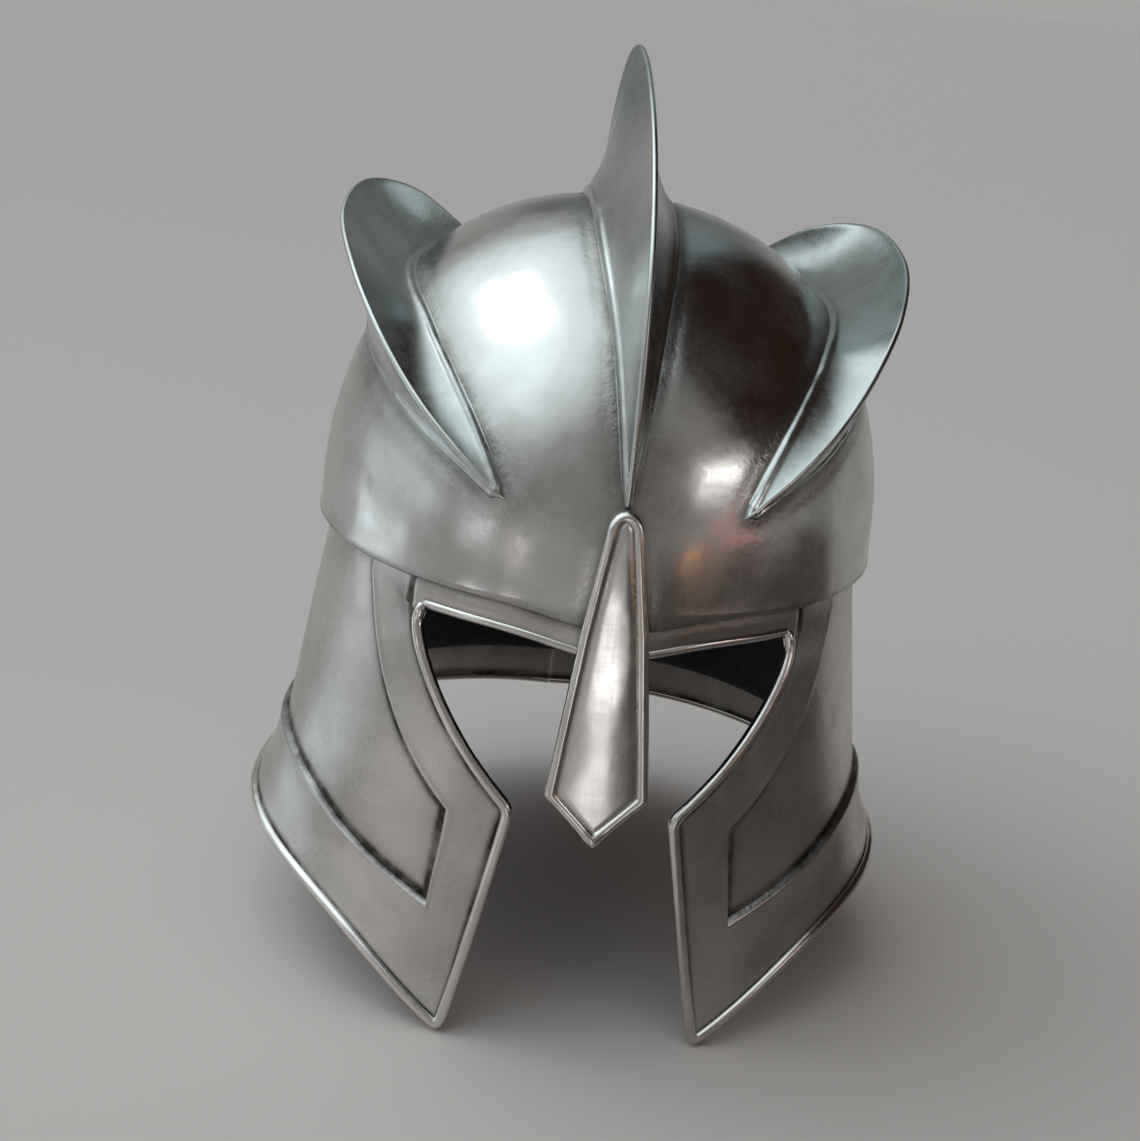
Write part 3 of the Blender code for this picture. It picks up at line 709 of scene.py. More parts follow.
BLADE_STEPS = 150
BLADE_POINTS = 36
CROWDING = 1.7              # draws a section's points together near its foot
FOOT_SINK = 0.0003
FOOT_TUCK = (0.0010, 0.0014)        # how far outwards and down a section starts inside the bowl
EDGE_TURNS = (30.0, 60.0, 90.0, 120.0, 150.0)
EDGE_RISE = 1.1
HALVINGS = 40
CREST_HOLLOW = (0.30, 0.85)         # how far up and inwards the crest's cheeks are drawn in
CREST_FADE = 0.006
FIN_BEFORE = -0.09          # the tapers' shares of the fin's length
FIN_AFTER = 0.07
FIN_TANGENT = 0.01
FIN_LAST_WAY = 0.97         # the tail goes on the way that the fin runs from here to its end
FIN_TAIL_SINK = 0.001
FIN_FEET_MEET = 0.9
FIN_HOLLOW = (0.55, 0.22)
THIN_EDGE = 0.3             # the edge's and the weld's size at a fin's tips, of their full size
THIN_WELD = 0.2


def skull_at_rise(rise_angle):
    """Way from the crest's centre at an angle from the front, and how far the bowl is along it."""
    turn = math.radians(rise_angle)
    reach = Vector((0.0, -math.cos(turn), math.sin(turn)))
    near, far = SKULL_RISE / 2, SKULL_BACK * 1.25
    for _ in range(HALVINGS):
        middle = (near + far) / 2
        height = CREST_CENTRE + reach.z * middle
        depth = SKULL_FRONT if reach.y < 0 else SKULL_BACK
        inside = height < EQUATOR + SKULL_RISE and abs(reach.y * middle) < depth * skull_closing(height)
        near, far = (middle, far) if inside else (near, middle)
    return reach, near


def skull_beside(point, across, out):
    """Point on the bowl beside a point of its middle line, with the bowl's outward direction."""
    depth = SKULL_FRONT if point.y < 0 else SKULL_BACK
    plan = math.hypot(across / SKULL_HALF_WIDTH, point.y / depth)
    beside = Vector((across, point.y, level(EQUATOR + SKULL_RISE * round_off(plan))))
    normal = skull_normal(beside)
    return beside + normal * out, normal


def half_section(foot, normal, control, top, fade):
    """One side of a blade's cross-section, from under the bowl's skin up to the free edge.

    The dressed weld makes a low ridge along the foot, then the hollow cheek sweeps up."""
    side = (control - foot).normalized()
    side = (side - normal * side.dot(normal)).normalized()
    uneven = 1.0 + sum(wave(foot, *kind) for kind in WELD_WAVES)
    ground = foot - normal * BASE_CLEAR
    points = [ground - side * FOOT_TUCK[0] - normal * FOOT_TUCK[1]]
    for step in spaced(0.0, 1.0, BLADE_POINTS):
        point = Vector(bend(ground - normal * FOOT_SINK, control, top, step ** CROWDING))
        reach = (point - ground).length
        points.append(point + normal * (uneven * fade * hump(reach, *WELD)))
    return points


def round_edge(left_top, right_top, along):
    """Points of the half-round free edge between the two cheeks' tops."""
    middle = (left_top + right_top) / 2
    across = (right_top - left_top) / 2
    return [middle - across * math.cos(turn) + along * (math.sin(turn) * across.length * EDGE_RISE)
            for turn in map(math.radians, EDGE_TURNS)]


def blade_object(name, stations, nodes):
    """A hollow-ground blade from stations of (left half, right half, edge direction)."""
    sections, marks = [], []
    for left, right, along in stations:
        loop = left + round_edge(left[-1], right[-1], along) + right[::-1]
        sections.append(loop)
        for k in range(len(loop)):
            from_foot = min(k, len(loop) - 1 - k)
            # Painted shade, with some oxide, on the blade's cheeks near their feet.
            marks.append(hump(from_foot, *BLADE_FOOT_MARK) + hump(from_foot, *BLADE_SHADE_MARK))
    finish_piece(bar(name, sections, marks), FIN_STEEL, nodes)


def make_crest():
    stations = []
    for angle in spaced(CREST_BLADE[0][0], CREST_BLADE[-1][0], BLADE_STEPS):
        reach, radius = skull_at_rise(angle)
        middle = Vector((0.0, 0.0, level(CREST_CENTRE))) + reach * radius
        edge = middle + reach * (smooth(CREST_BLADE, angle) - BLADE_EDGE)
        half_foot = smooth(CREST_FOOT, angle)
        halves = []
        for side in (-1, 1):
            foot, normal = skull_beside(middle, side * half_foot, BASE_CLEAR)
            top = edge + Vector((side * BLADE_EDGE, 0.0, 0.0))
            control = blend(foot, top, CREST_HOLLOW[0])
            control.x = blend(foot.x, top.x, CREST_HOLLOW[1])
            halves.append(half_section(foot, normal, control, top, ease(half_foot / CREST_FADE)))
            FOOT_LINES.append(foot - normal * BASE_CLEAR)
        stations.append((*halves, reach))
    blade_object("crest_blade", stations, ("crest_left", "crest_right"))


def fin_station(t):
    """The free edge, its thickness direction and both feet of a left fin, at t along it."""
    x, y, height = smooth_row(FIN_EDGE, t)
    edge = Vector((x, y, level(height)))
    ahead = smooth_row(FIN_EDGE, min(t + FIN_TANGENT, 1.0))
    behind = smooth_row(FIN_EDGE, max(t - FIN_TANGENT, 0.0))
    along = Vector([a - b for a, b in zip(ahead, behind)]).normalized()
    inner = skull(*smooth_row(FIN_INNER_FOOT, t), BASE_CLEAR)
    outer = skull(*smooth_row(FIN_OUTER_FOOT, t), BASE_CLEAR)
    through = along.cross(edge - (inner + outer) / 2).normalized()
    if through.dot(inner - outer) < 0:
        through = -through
    return edge, through, inner, outer


def tapered_station(t):
    """A fin station and its fade, drawn to a point beyond either end of the CAD fin."""
    edge, through, inner, outer = fin_station(min(max(t, 0.0), 1.0))
    if 0.0 <= t <= 1.0:
        return edge, through, inner, outer, 1.0
    if t < 0.0:
        tip = skull(*FIN_TIP)
        gone = ease(t / FIN_BEFORE)
    else:
        root = (inner + outer) / 2
        before = fin_station(FIN_LAST_WAY)
        tip = root + (root - (before[2] + before[3]) / 2).normalized() * FIN_TAIL
        gone = ease((t - 1.0) / FIN_AFTER)
        tip -= skull_normal(tip) * FIN_TAIL_SINK
    meet = gone * FIN_FEET_MEET
    return blend(edge, tip, gone), through, blend(inner, tip, meet), blend(outer, tip, meet), 1.0 - gone


def make_fin(label, side):
    stations = []
    for t in spaced(FIN_BEFORE, 1.0 + FIN_AFTER, BLADE_STEPS):
        edge, through, inner, outer, fade = tapered_station(t)
        root = (inner + outer) / 2
        away = edge - root
        away = away.normalized() if away.length > 0.0002 else skull_normal(root)
        rim = BLADE_EDGE * blend(THIN_EDGE, 1.0, fade)
        halves = []
        for foot, turn in ((inner, 1), (outer, -1)):
            normal = skull_normal(foot)
            top = edge - away * rim + through * (turn * rim)
            control = blend(blend(foot, root, FIN_HOLLOW[0]), top, FIN_HOLLOW[1])
            half = half_section(foot, normal, control, top, blend(THIN_WELD, 1.0, fade))
            halves.append([mirrored(point, side) for point in half])
            FOOT_LINES.append(mirrored(foot - normal * BASE_CLEAR, side))
        stations.append((*halves, mirrored(away, side)))
    nodes = ("fin_" + label + "_inner", "fin_" + label + "_outer")
    blade_object("fin_" + label + "_blade", stations, nodes)


# ---- nasal ----

NASAL_ROUND_STEPS = 8
NASAL_ROWS = 90
NASAL_ACROSS = 24
NASAL_UNDER_ROLL = 0.62     # how far under its bead the face reaches, in bead diameters
NASAL_PROUD = 0.0002
NASAL_BACK = 0.002          # the bowl lies about this far behind the bead
BEAD_SPACING = 0.0015
TIP_LUMP = (0.0028, 0.30)
CORNER_LUMP = (0.0022, 0.16)


def nasal_point(x, height):
    """Point on the nasal's middle surface."""
    forehead = SKULL_FRONT * skull_closing(height) + NASAL_OFFSET
    lean = NASAL_LEAN * max(EQUATOR - height, 0.0)
    return Vector((x, -forehead - lean + x * x / (2 * NASAL_CURVE), level(height)))


def nasal_outline(distance):
    """Left half of the outline, from the point up to the round top, moved inwards by a distance."""
    half = [Vector((width, height)) for height, width in NASAL_OUTLINE]
    radius, shoulder = half[-1]
    for turn in map(math.radians, spaced(10.0, 90.0, NASAL_ROUND_STEPS)):
        half.append(Vector((radius * math.cos(turn), shoulder + (NASAL_TOP - shoulder) * math.sin(turn))))
    other_side = [Vector((-point.x, point.y)) for point in (half[1], half[-2])]
    whole = other_side[:1] + half + other_side[1:]
    moved = []
    for before, here, after in zip(whole, whole[1:], whole[2:]):
        moved.append(here + sideways((here - before).normalized(), (after - here).normalized(), distance))
    return moved


def make_nasal():
    bead = nasal_outline(NASAL_ROLL / 2)
    left = [Vector(p) for p in resample([nasal_point(*p) for p in bead], BEAD_SPACING)]
    loop = left + [mirrored(p, -1) for p in left[-2:0:-1]]
    tip, corner = nasal_point(0.0, bead[0].y), nasal_point(*bead[1])
    lumps = [(tip, *TIP_LUMP), (corner, *CORNER_LUMP), (mirrored(corner, -1), *CORNER_LUMP)]
    roll = tube("nasal_bead", loop, NASAL_ROLL / 2, closed=True, lumps=lumps)
    finish_piece(roll, EDGE_STEEL, ("nasal_roll",))

    face = nasal_outline(NASAL_ROLL * NASAL_UNDER_ROLL)
    heights, widths = zip(*sorted((p.y, max(p.x, 0.0)) for p in face))
    rows = []
    for height in spaced(heights[0], heights[-1], NASAL_ROWS):
        half = max(float(np.interp(height, heights, widths)), TINY)
        row = []
        for share in spaced(-1.0, 1.0, NASAL_ACROSS):
            from_bead = (1 - abs(share)) * half
            point = nasal_point(half * share, height)
            point.y += hump(from_bead, *NASAL_DISH) - NASAL_SHEET / 2 - NASAL_PROUD
            point.y += wave(point, *NASAL_WAVES)
            # Painted shade, with some oxide, in the groove inside the bead.
            row.append((point, hump(from_bead, *NASAL_MARK)))
        rows.append(row)
    sheet = plate("nasal_face", rows, NASAL_SHEET)
    finish_piece(sheet, NASAL_STEEL, ("nasal_plate",))
    for point in loop:
        FOOT_LINES.append(point + Vector((0.0, NASAL_BACK, 0.0)))


# ---- bowl ----

BOWL_STEPS = 360
BOWL_ROWS = 90


def make_bowl():
    foot_distance = distance_finder(FOOT_LINES)
    rows = []
    for share in spaced(0.0, 1.0, BOWL_ROWS):
        lift = min(math.sin(math.radians(90.0 * share)) ** (2.0 / SKULL_FULLNESS), 1.0)
        row = []
        for k in range(BOWL_STEPS):
            angle = 360.0 * k / BOWL_STEPS
            low = skull_edge(angle if angle <= 180.0 else angle - 360.0)
            height = max(EQUATOR + SKULL_RISE * lift, low) if share > 0.0 else low
            point = skull(angle, height)
            from_edge, from_foot = height - low, foot_distance(point)
            out = hammering(point) * ease(from_edge / HAMMERED_FROM)
            out += hump(from_edge, *BOWL_EDGE_RIDGE) - hump(from_foot, *FOOT_GROOVE)
            # Painted shade, with some oxide, along the feet of the crest, fins and nasal and at the bowl's
            # lower edge.
            mark = hump(from_foot, *FOOT_MARK) + hump(from_foot, *FOOT_SHADE_SPREAD)
            mark += hump(from_edge, *BOWL_EDGE_MARK)
            row.append((point + skull_normal(point) * out, mark))
        rows.append(row)
    bowl = plate("skull_bowl", rows, SHEET, loop=True)
    finish_piece(bowl, SKULL_STEEL, ("skull_left", "skull_right"))


# ---- wall ----

EYE_STEPS = 70
FRONT_STEPS = 60
RIM_STEPS = 150
ACROSS_BORDER = 22
RIM_CROWDING = 1.3          # draws the bottom edge's points together at the cheek's tip
BACK_CROWDING = 1.6

UNDER_ROLL = 0.75           # how far under its rolled edge the border reaches, in roll diameters
BAND_STARTS = 18.0          # stations from the cheek's tip until the border is the bottom band
EYE_BLEND = (42.0, 12.0)    # where the border stops lying level with the brow strip, and over how far
STRIP_STEP = 0.0002
STEP_RIDGE_HEIGHT = (0.0003, 0.0001)        # these three are beside the cheek and along the band
STEP_WIDTH = (0.0008, 0.0006)
STEP_MARK_WIDTH = (0.0007, 0.0011)
STEP_FOOT = 0.0003
STEP_LINE_SPACING = 0.0015

ROLL_STEPS = (40, 30, 90)
ROLL_SPACING = 0.0012
ROLL_PASSES = 6
ROLL_SKIPS = 3              # points at the eye corner that the join to the brow's roll takes the place of
ROLL_BACK_GAP = 0.0001
EDGE_LUMPS = ((EYE_CORNER, 0.0035, 0.12), (CHEEK_CORNER, 0.0040, 0.10), (CHEEK_TIP, 0.0050, 0.14))

STRIP_UNDER_ROLL = 0.7
STRIP_DROP = (0.0042, BROW_JOIN_ANGLE - 0.6, 1.0)       # how far, from which angle and over how many
STRIP_TUCK = (0.0018, BORDER_TOP_ANGLE - 0.9, 1.5)      # the same, for its ends' way under the border
STRIP_ACROSS = 160
STRIP_ROWS = 16
BROW_ROLL_STEPS = 120


def straight_line(start, end, steps):
    return [tuple(blend(a, b, t) for a, b in zip(start, end)) for t in spaced(0.0, 1.0, steps)]


def bent_line(start, control, end, steps):
    return [bend(start, control, end, t) for t in spaced(0.0, 1.0, steps)]


def bottom_line(start, height_at, steps):
    """Points of a line along the bottom, from an angle to the middle of the back."""
    angles = [start + (180.0 - start) * t ** RIM_CROWDING for t in spaced(0.0, 1.0, steps)]
    return [(angle, height_at(angle)) for angle in angles]


def outer_edge(eye=EYE_STEPS, front=FRONT_STEPS, rim=RIM_STEPS):
    """The border's whole outer outline: eye opening, front edge, bottom."""
    return (bent_line(EYE_CORNER, EYE_BEND, CHEEK_CORNER, eye)
            + straight_line(CHEEK_CORNER, CHEEK_TIP, front)[1:]
            + bottom_line(CHEEK_TIP[0], rim_height, rim)[1:])


def inner_edge(eye=EYE_STEPS, front=FRONT_STEPS, rim=RIM_STEPS):
    """The border's inner outline, station by station beside the outer one."""
    return (bent_line(PANEL_TOP, PANEL_BEND, PANEL_CORNER, eye)
            + straight_line(PANEL_CORNER, PANEL_TIP, front)[1:]
            + bottom_line(PANEL_TIP[0], band_height, rim)[1:])


def border_relief(plain, share, width, on_band):
    """The border's stand-off at a share of its width in from the rolled edge."""
    from_roll, from_step = share * width, (1 - share) * width
    out = plain - hump(from_roll, *ROLL_GROOVE)
    out += hump(from_step, *STEP_RIDGE, blend(*STEP_RIDGE_HEIGHT, on_band))
    out -= hump(share, *BAND_HOLLOW, BAND_HOLLOW_DEPTH * on_band)
    return out - hump(from_step, 0.0, blend(*STEP_WIDTH, on_band), out - STEP_FOOT)


# Painted shade, with some oxide, beside the rolled edge and the step, at the eye corner and under the
# bowl's edge.
def border_mark(angle, height, from_roll, from_step, on_band):
    from_corner = math.hypot(from_roll, height - EYE_CORNER[1])
    beside_edges = hump(from_roll, *ROLL_MARK) + hump(from_step, 0.0, blend(*STEP_MARK_WIDTH, on_band))
    from_seam = height - skull_edge(angle)
    return max(beside_edges, hump(from_corner, *EYE_CORNER_MARK), hump(from_seam, *SEAM_MARK))


def make_border(label, side):
    """The proud border: a crisp step at its inner edge, a groove beside the rolled edge."""
    outer = [(BORDER_TOP_ANGLE, WALL_TOP)] + inset(outer_edge(), EDGE_ROLL * UNDER_ROLL)
    inner = [(BORDER_TOP_INNER, WALL_TOP)] + inner_edge()
    outer[1] = (BORDER_TOP_ANGLE, outer[1][1])
    outer[-1] = (180.0, outer[-1][1])
    rim_start = 1 + EYE_STEPS + FRONT_STEPS
    rows = []
    for t in spaced(0.0, 1.0, ACROSS_BORDER):
        share = 0.5 - 0.5 * math.cos(math.pi * t)
        row = []
        for i, ((a, h), (b, g)) in enumerate(zip(outer, inner)):
            angle, height = blend(a, b, share), blend(h, g, share)
            width = math.hypot(math.radians(b - a) * ARC_RADIUS, g - h)
            on_band = ease((i - rim_start) / BAND_STARTS)
            beside_eye = 1.0 - ease((angle - EYE_BLEND[0]) / EYE_BLEND[1])
            plain = blend(PROUD, STRIP_PROUD + STRIP_STEP, top_share(height) * beside_eye)
            point = border_point(angle, height, border_relief(plain, share, width, on_band))
            if i < len(outer) - 1:
                point += wall_ripple(point, angle)
            else:
                point.x = GAP
            row.append((point, border_mark(angle, height, share * width, (1 - share) * width, on_band)))
        rows.append(row)
    piece = side_plate("cheek_border_" + label + "_sheet", rows, BORDER_SHEET, side)
    finish_piece(piece, SIDE_STEEL, ("cheek_border_" + label,))


def panel_front(eye, front):
    """Front outline of the side panel, under the border."""
    to_tip = eye + front + 1
    outer = [(BORDER_TOP_ANGLE, WALL_TOP)] + outer_edge(eye, front)[:to_tip]
    inner = [(BORDER_TOP_INNER, WALL_TOP)] + inner_edge(eye, front)[:to_tip]
    return [(blend(c, a, UNDERLAP), blend(d, b, UNDERLAP)) for (a, b), (c, d) in zip(outer, inner)]


def panel_bottom(angle):
    return blend(band_height(angle), rim_height(angle), UNDERLAP)


def panel_rows(eye, front, steps, back_gap, out=0.0, drop=0.0, behind=0.0, lift=0.0, ripple=False):
    """Rows of points of a sheet like the left side panel, from its front to the middle of the back.

    drop, behind and lift hold its top, front and bottom edges back from the panel's."""
    rows = []
    for front_angle, front_height in panel_front(eye, front)[::-1]:
        front_angle += behind
        share = (WALL_TOP - front_height) / (WALL_TOP - panel_bottom(front_angle))
        row = []
        for share_back in spaced(0.0, 1.0, steps):
            angle = blend(front_angle, 180.0, share_back ** BACK_CROWDING)
            point = wall(angle, blend(WALL_TOP - drop, panel_bottom(angle) + lift, share), out)
            if ripple:
                point += wall_ripple(point, angle)
            row.append(point)
        row[-1].x = back_gap
        rows.append(row)
    return rows


def make_panel(label, side):
    step_distance = distance_finder([wall(a, h) for a, h in resample(inner_edge(), STEP_LINE_SPACING)])

    # Painted shade, with some oxide, beside the border's step and under the bowl's edge.
    def mark(point):
        from_step = step_distance(point)
        from_seam = point.z + SEAT_HEIGHT - SKULL_EDGE
        beside_step = hump(from_step, *PANEL_STEP_MARK) + hump(from_step, *PANEL_STEP_SHADE_SPREAD)
        return beside_step + hump(from_seam, *SEAM_MARK)

    rows = [[(point, mark(point)) for point in row]
            for row in panel_rows(eye=80, front=64, steps=170, back_gap=GAP, ripple=True)]
    piece = side_plate("side_panel_" + label + "_sheet", rows, SHEET, side)
    finish_piece(piece, SIDE_STEEL, ("side_panel_" + label,))


def top_share(height):
    """1 at the brow seam, 0 a little below the eye opening's corner."""
    return ease((height - TOP_BLEND_LOW) / (TOP_BLEND_HIGH - TOP_BLEND_LOW))


def edge_point(angle, height):
    """Point on the wired edge's middle line."""
    out = blend(PROUD - BORDER_SHEET / 2, STRIP_PROUD - SHEET / 2, top_share(height))
    return border_point(angle, height, out)


def brow_line(angle):
    """Height of the middle of the brow's rolled edge."""
    return skull_edge(angle) - STRIP_DEPTH + BROW_ROLL / 2


def make_edge_roll(label, side):
    """The wired edge: eye opening, front edge, tip and bottom in one run."""
    path = inset(outer_edge(*ROLL_STEPS), EDGE_ROLL / 2)[ROLL_SKIPS:]
    path = [(BROW_JOIN_ANGLE, brow_line(BROW_JOIN_ANGLE))] + path
    points = [edge_point(a, h) for a, h in rounded(resample(path, ROLL_SPACING), ROLL_PASSES)]
    points[-1].x = ROLL_BACK_GAP
    lumps = [(mirrored(edge_point(*place), side), reach, amount) for place, reach, amount in EDGE_LUMPS]
    piece = tube("edge_roll_" + label + "_wire", [mirrored(p, side) for p in points], EDGE_ROLL / 2,
                 lumps=lumps, round_last=False)
    finish_piece(piece, EDGE_STEEL, ("edge_roll_" + label,))


def strip_end(angle, amount, start, over):
    """An amount that comes in towards both ends of the brow strip."""
    return amount * ease((abs(angle) - start) / over)


def make_brow():
    """The strip between the bowl and the eye openings, and its rolled edge."""
    rows = []
    for t in spaced(0.0, 1.0, STRIP_ROWS):
        row = []
        for angle in spaced(-STRIP_END_ANGLE, STRIP_END_ANGLE, STRIP_ACROSS):
            low = skull_edge(angle) - STRIP_DEPTH + BROW_ROLL * STRIP_UNDER_ROLL
            low -= strip_end(angle, *STRIP_DROP)
            height = blend(low, WALL_TOP, t)
            below = skull_edge(angle) - height
            out = STRIP_PROUD + hump(below, *STRIP_BELLY) - strip_end(angle, *STRIP_TUCK)
            point = wall(angle, height, out)
            point += 0.5 * wall_ripple(point, angle)
            # Painted shade, with some oxide, under the bowl's edge and beside the rolled edge.
            row.append((point, hump(below, *STRIP_SEAM_MARK) + hump(height - low, *STRIP_ROLL_MARK)))
        rows.append(row)
    strip = plate("brow_strip_sheet", rows, SHEET)
    finish_piece(strip, SIDE_STEEL, ("brow_strip",))
    line = [wall(angle, brow_line(angle), STRIP_PROUD - SHEET / 2)
            for angle in spaced(-BROW_JOIN_ANGLE, BROW_JOIN_ANGLE, BROW_ROLL_STEPS)]
    roll = tube("brow_roll_wire", line, BROW_ROLL / 2)
    finish_piece(roll, EDGE_STEEL, ("brow_roll",))


# ---- felt ----

PAD_ACROSS = 60
PAD_DOWN = 16
PAD_ARC_RADIUS = 0.1
PAD_THIN = 0.42             # a pad's thickness at its edge, of its full thickness
PAD_ROUNDING = 0.009
PAD_FULLNESS = 0.6
CROWN_PAD_STEPS = 72
CROWN_PAD_TIGHT = 0.0001


def make_bowl_pads():
    """Felt pads round the inside of the bowl: crowned, with thinned edges and a sewn line."""
    for name, start, end in BOWL_PADS:
        outer_points, inner_points = [], []
        for k, height in enumerate(spaced(PAD_LOW, PAD_HIGH, PAD_DOWN)):
            for i, angle in enumerate(spaced(start, end, PAD_ACROSS)):
                from_level = min(k, PAD_DOWN - k) * (PAD_HIGH - PAD_LOW) / PAD_DOWN
                from_side = min(i, PAD_ACROSS - i) * math.radians(end - start) * PAD_ARC_RADIUS / PAD_ACROSS
                edge = min(from_level, from_side)
                crown = blend(PAD_THIN, 1.0, ease(edge / PAD_ROUNDING) ** PAD_FULLNESS)
                skin = skull(angle, height, -SHEET - FELT_CLEAR)
                full = PAD * crown * (1 - hump(edge, *PAD_SEWING)) + wave(skin, *FELT_WAVES)
                outer_points.append(skin)
                inner_points.append(skin - skull_normal(skull(angle, height)) * min(full, PAD))
        finish_felt(closed_pad(name + "_felt", outer_points, inner_points), name)


def closed_pad(name, outer_points, inner_points):
    count_rows, count = PAD_DOWN + 1, PAD_ACROSS + 1
    back = len(outer_points)
    faces = skin_faces(count_rows, count)
    around, _ = open_edge(count_rows, count)
    for i, here in enumerate(around):
        after = around[(i + 1) % len(around)]
        faces.append((here, back + here, back + after, after))
    return mesh_object(name, outer_points + inner_points, faces)


def finish_felt(piece, node):
    finish_piece(piece, BLACK_FELT, (node,))


def make_crown_pad():
    """The round pad under the top of the bowl, flat where the head meets it."""

    def under_bowl(share):
        plan = CROWN_PAD_RADIUS * share / min(SKULL_HALF_WIDTH, SKULL_FRONT)
        return EQUATOR + SKULL_RISE * round_off(plan) - SHEET - CROWN_PAD_CLEAR

    profile = [(share, under_bowl(below)) for share, below in CROWN_PAD_TOP]
    rim_top = profile[-1][1]
    low = rim_top - CROWN_PAD_EDGE
    profile += [(share, blend(rim_top, low, drop)) for share, drop in CROWN_PAD_SIDE]
    profile += [(share, blend(low, SEAT_HEIGHT, drop)) for share, drop in CROWN_PAD_UNDER]
    profile += [(CROWN_PAD_FLAT, SEAT_HEIGHT + CROWN_PAD_TIGHT), (0.3, SEAT_HEIGHT), (0.0, SEAT_HEIGHT)]
    points = []
    for share, height in profile:
        radius = max(CROWN_PAD_RADIUS * share, TINY)
        for turn in (2 * math.pi * k / CROWN_PAD_STEPS for k in range(CROWN_PAD_STEPS)):
            points.append((radius * math.cos(turn), radius * math.sin(turn), level(height)))
    faces = grid_faces(len(profile), CROWN_PAD_STEPS, True)
    faces.append(tuple(range(CROWN_PAD_STEPS)))
    faces.append(tuple(range(len(points) - 1, len(points) - 1 - CROWN_PAD_STEPS, -1)))
    finish_felt(mesh_object("crown_pad_felt", points, faces), "crown_pad")


def make_lining(label, side):
    points = panel_rows(eye=14, front=10, steps=80, back_gap=BACK_CLEAR, out=-SHEET - FELT_CLEAR,
                        drop=LINING_DROP, behind=LINING_INSET, lift=LINING_LIFT)
    rows = [[(point, 0.0) for point in row] for row in points]
    piece = side_plate("wall_lining_" + label + "_felt", rows, LINING, side)
    finish_felt(piece, "wall_lining_" + label)


# ---- room ----

FLOOR_SIZE = 40.0           # half its width
FLOOR_BELOW = 0.0002
FLOOR_COLOUR = (0.58, 0.51, 0.485)
LIGHTS_AIM = Vector((0.0, 0.0, -0.10))
SKY = (0.28, 0.27, 0.26)

# Soft patches of sky: azimuth and elevation, the angles where it is full and where it is gone, colour
SKY_PATCHES = (
    (0.0, 90.0, 12.0, 50.0, (0.50, 0.60, 0.61)),
    (16.0, 14.0, 6.0, 18.0, (0.15, 0.14, 0.13)),
    (-90.0, 57.0, 22.0, 62.0, (1.38, 1.57, 1.62)),
    (105.0, 42.0, 37.0, 53.0, (0.026, 0.014, 0.010)),
    (175.0, 0.0, 22.0, 34.0, (0.374, 0.368, 0.358)),
)

# Name, azimuth and elevation, distance, width and height, radiance, colour
SOFTBOXES = (
    ("window", -95.0, 56.0, 1.6, 0.8, 0.5, 1.5, (0.92, 0.98, 1.0)),
    ("strip", 46.0, 15.0, 1.5, 0.66, 0.13, 3.0, (1.0, 0.97, 0.94)),
)

# Reflector cards. Upright and curved: name, azimuths, distance, lowest and highest Z, colour
ROUND_CARDS = (
    ("rose_card", (37.0, 60.0), 0.60, (-0.13, -0.03), (0.95, 0.42, 0.40)),
    ("amber_card", (27.0, 38.0), 0.60, (-0.180, -0.130), (1.10, 0.55, 0.26)),
    ("temple_card", (-116.0, -60.0), 0.48, (-0.135, -0.052), (0.85, 0.93, 0.97)),
    ("brow_card", (-53.0, -43.0), 0.48, (-0.155, -0.080), (2.3, 2.3, 2.35)),
    ("small_brow_card", (-36.0, -29.0), 0.48, (-0.165, -0.125), (2.5, 2.4, 2.4)),
)

# On the floor: name, azimuths, nearest and farthest reach, colour, crispness of the edges
FLOOR_CARDS = (
    ("left_ground", (-120.0, -84.0), (0.24, 0.48), (0.85, 0.97, 1.02), 1.0),
    ("far_left_ground", (-120.0, -82.0), (0.44, 1.20), (1.20, 1.32, 1.36), 1.0),
    ("front_left_ground", (-78.0, -32.0), (0.13, 0.48), (0.66, 0.64, 0.63), 1.0),
    ("nose_ground", (-5.0, 11.0), (0.46, 0.86), (2.1, 2.05, 2.0), 1.0),
    ("near_nose_ground", (-3.0, 10.0), (0.28, 0.48), (1.3, 1.25, 1.25), 1.0),
    ("right_ground", (6.0, 106.0), (0.10, 2.00), (0.075, 0.066, 0.056), 4.0),
)

# Upright and flat: name, two opposite corners, colour
BEHIND = CAD_BOX[1][1]
FLAT_CARDS = (
    ("low_back_card", (-0.10, BEHIND + 0.007, 0.02), (0.15, BEHIND + 0.007, 0.125), (0.16, 0.175, 0.175)),
    ("high_back_card", (-0.05, BEHIND + 0.008, 0.08), (0.17, BEHIND + 0.008, 0.40), (0.24, 0.32, 0.33)),
    ("crest_card", (0.012, -0.02, 0.066), (0.012, 0.20, 0.20), (0.11, 0.13, 0.13)),
)

CARD_ACROSS = 24
CARD_DOWN = 16
CARD_FADE = (4.0, 3.0)      # a card's soft edges are its width over this, and its height over this
CARD_GAP = 0.0003           # each card on the floor lies this far above the one before


def towards(azimuth, elevation):
    """Direction from the helmet: azimuth 0 is in front, positive towards the wearer's left."""
    a, e = math.radians(azimuth), math.radians(elevation)
    return Vector((math.sin(a) * math.cos(e), -math.cos(a) * math.cos(e), math.sin(e)))


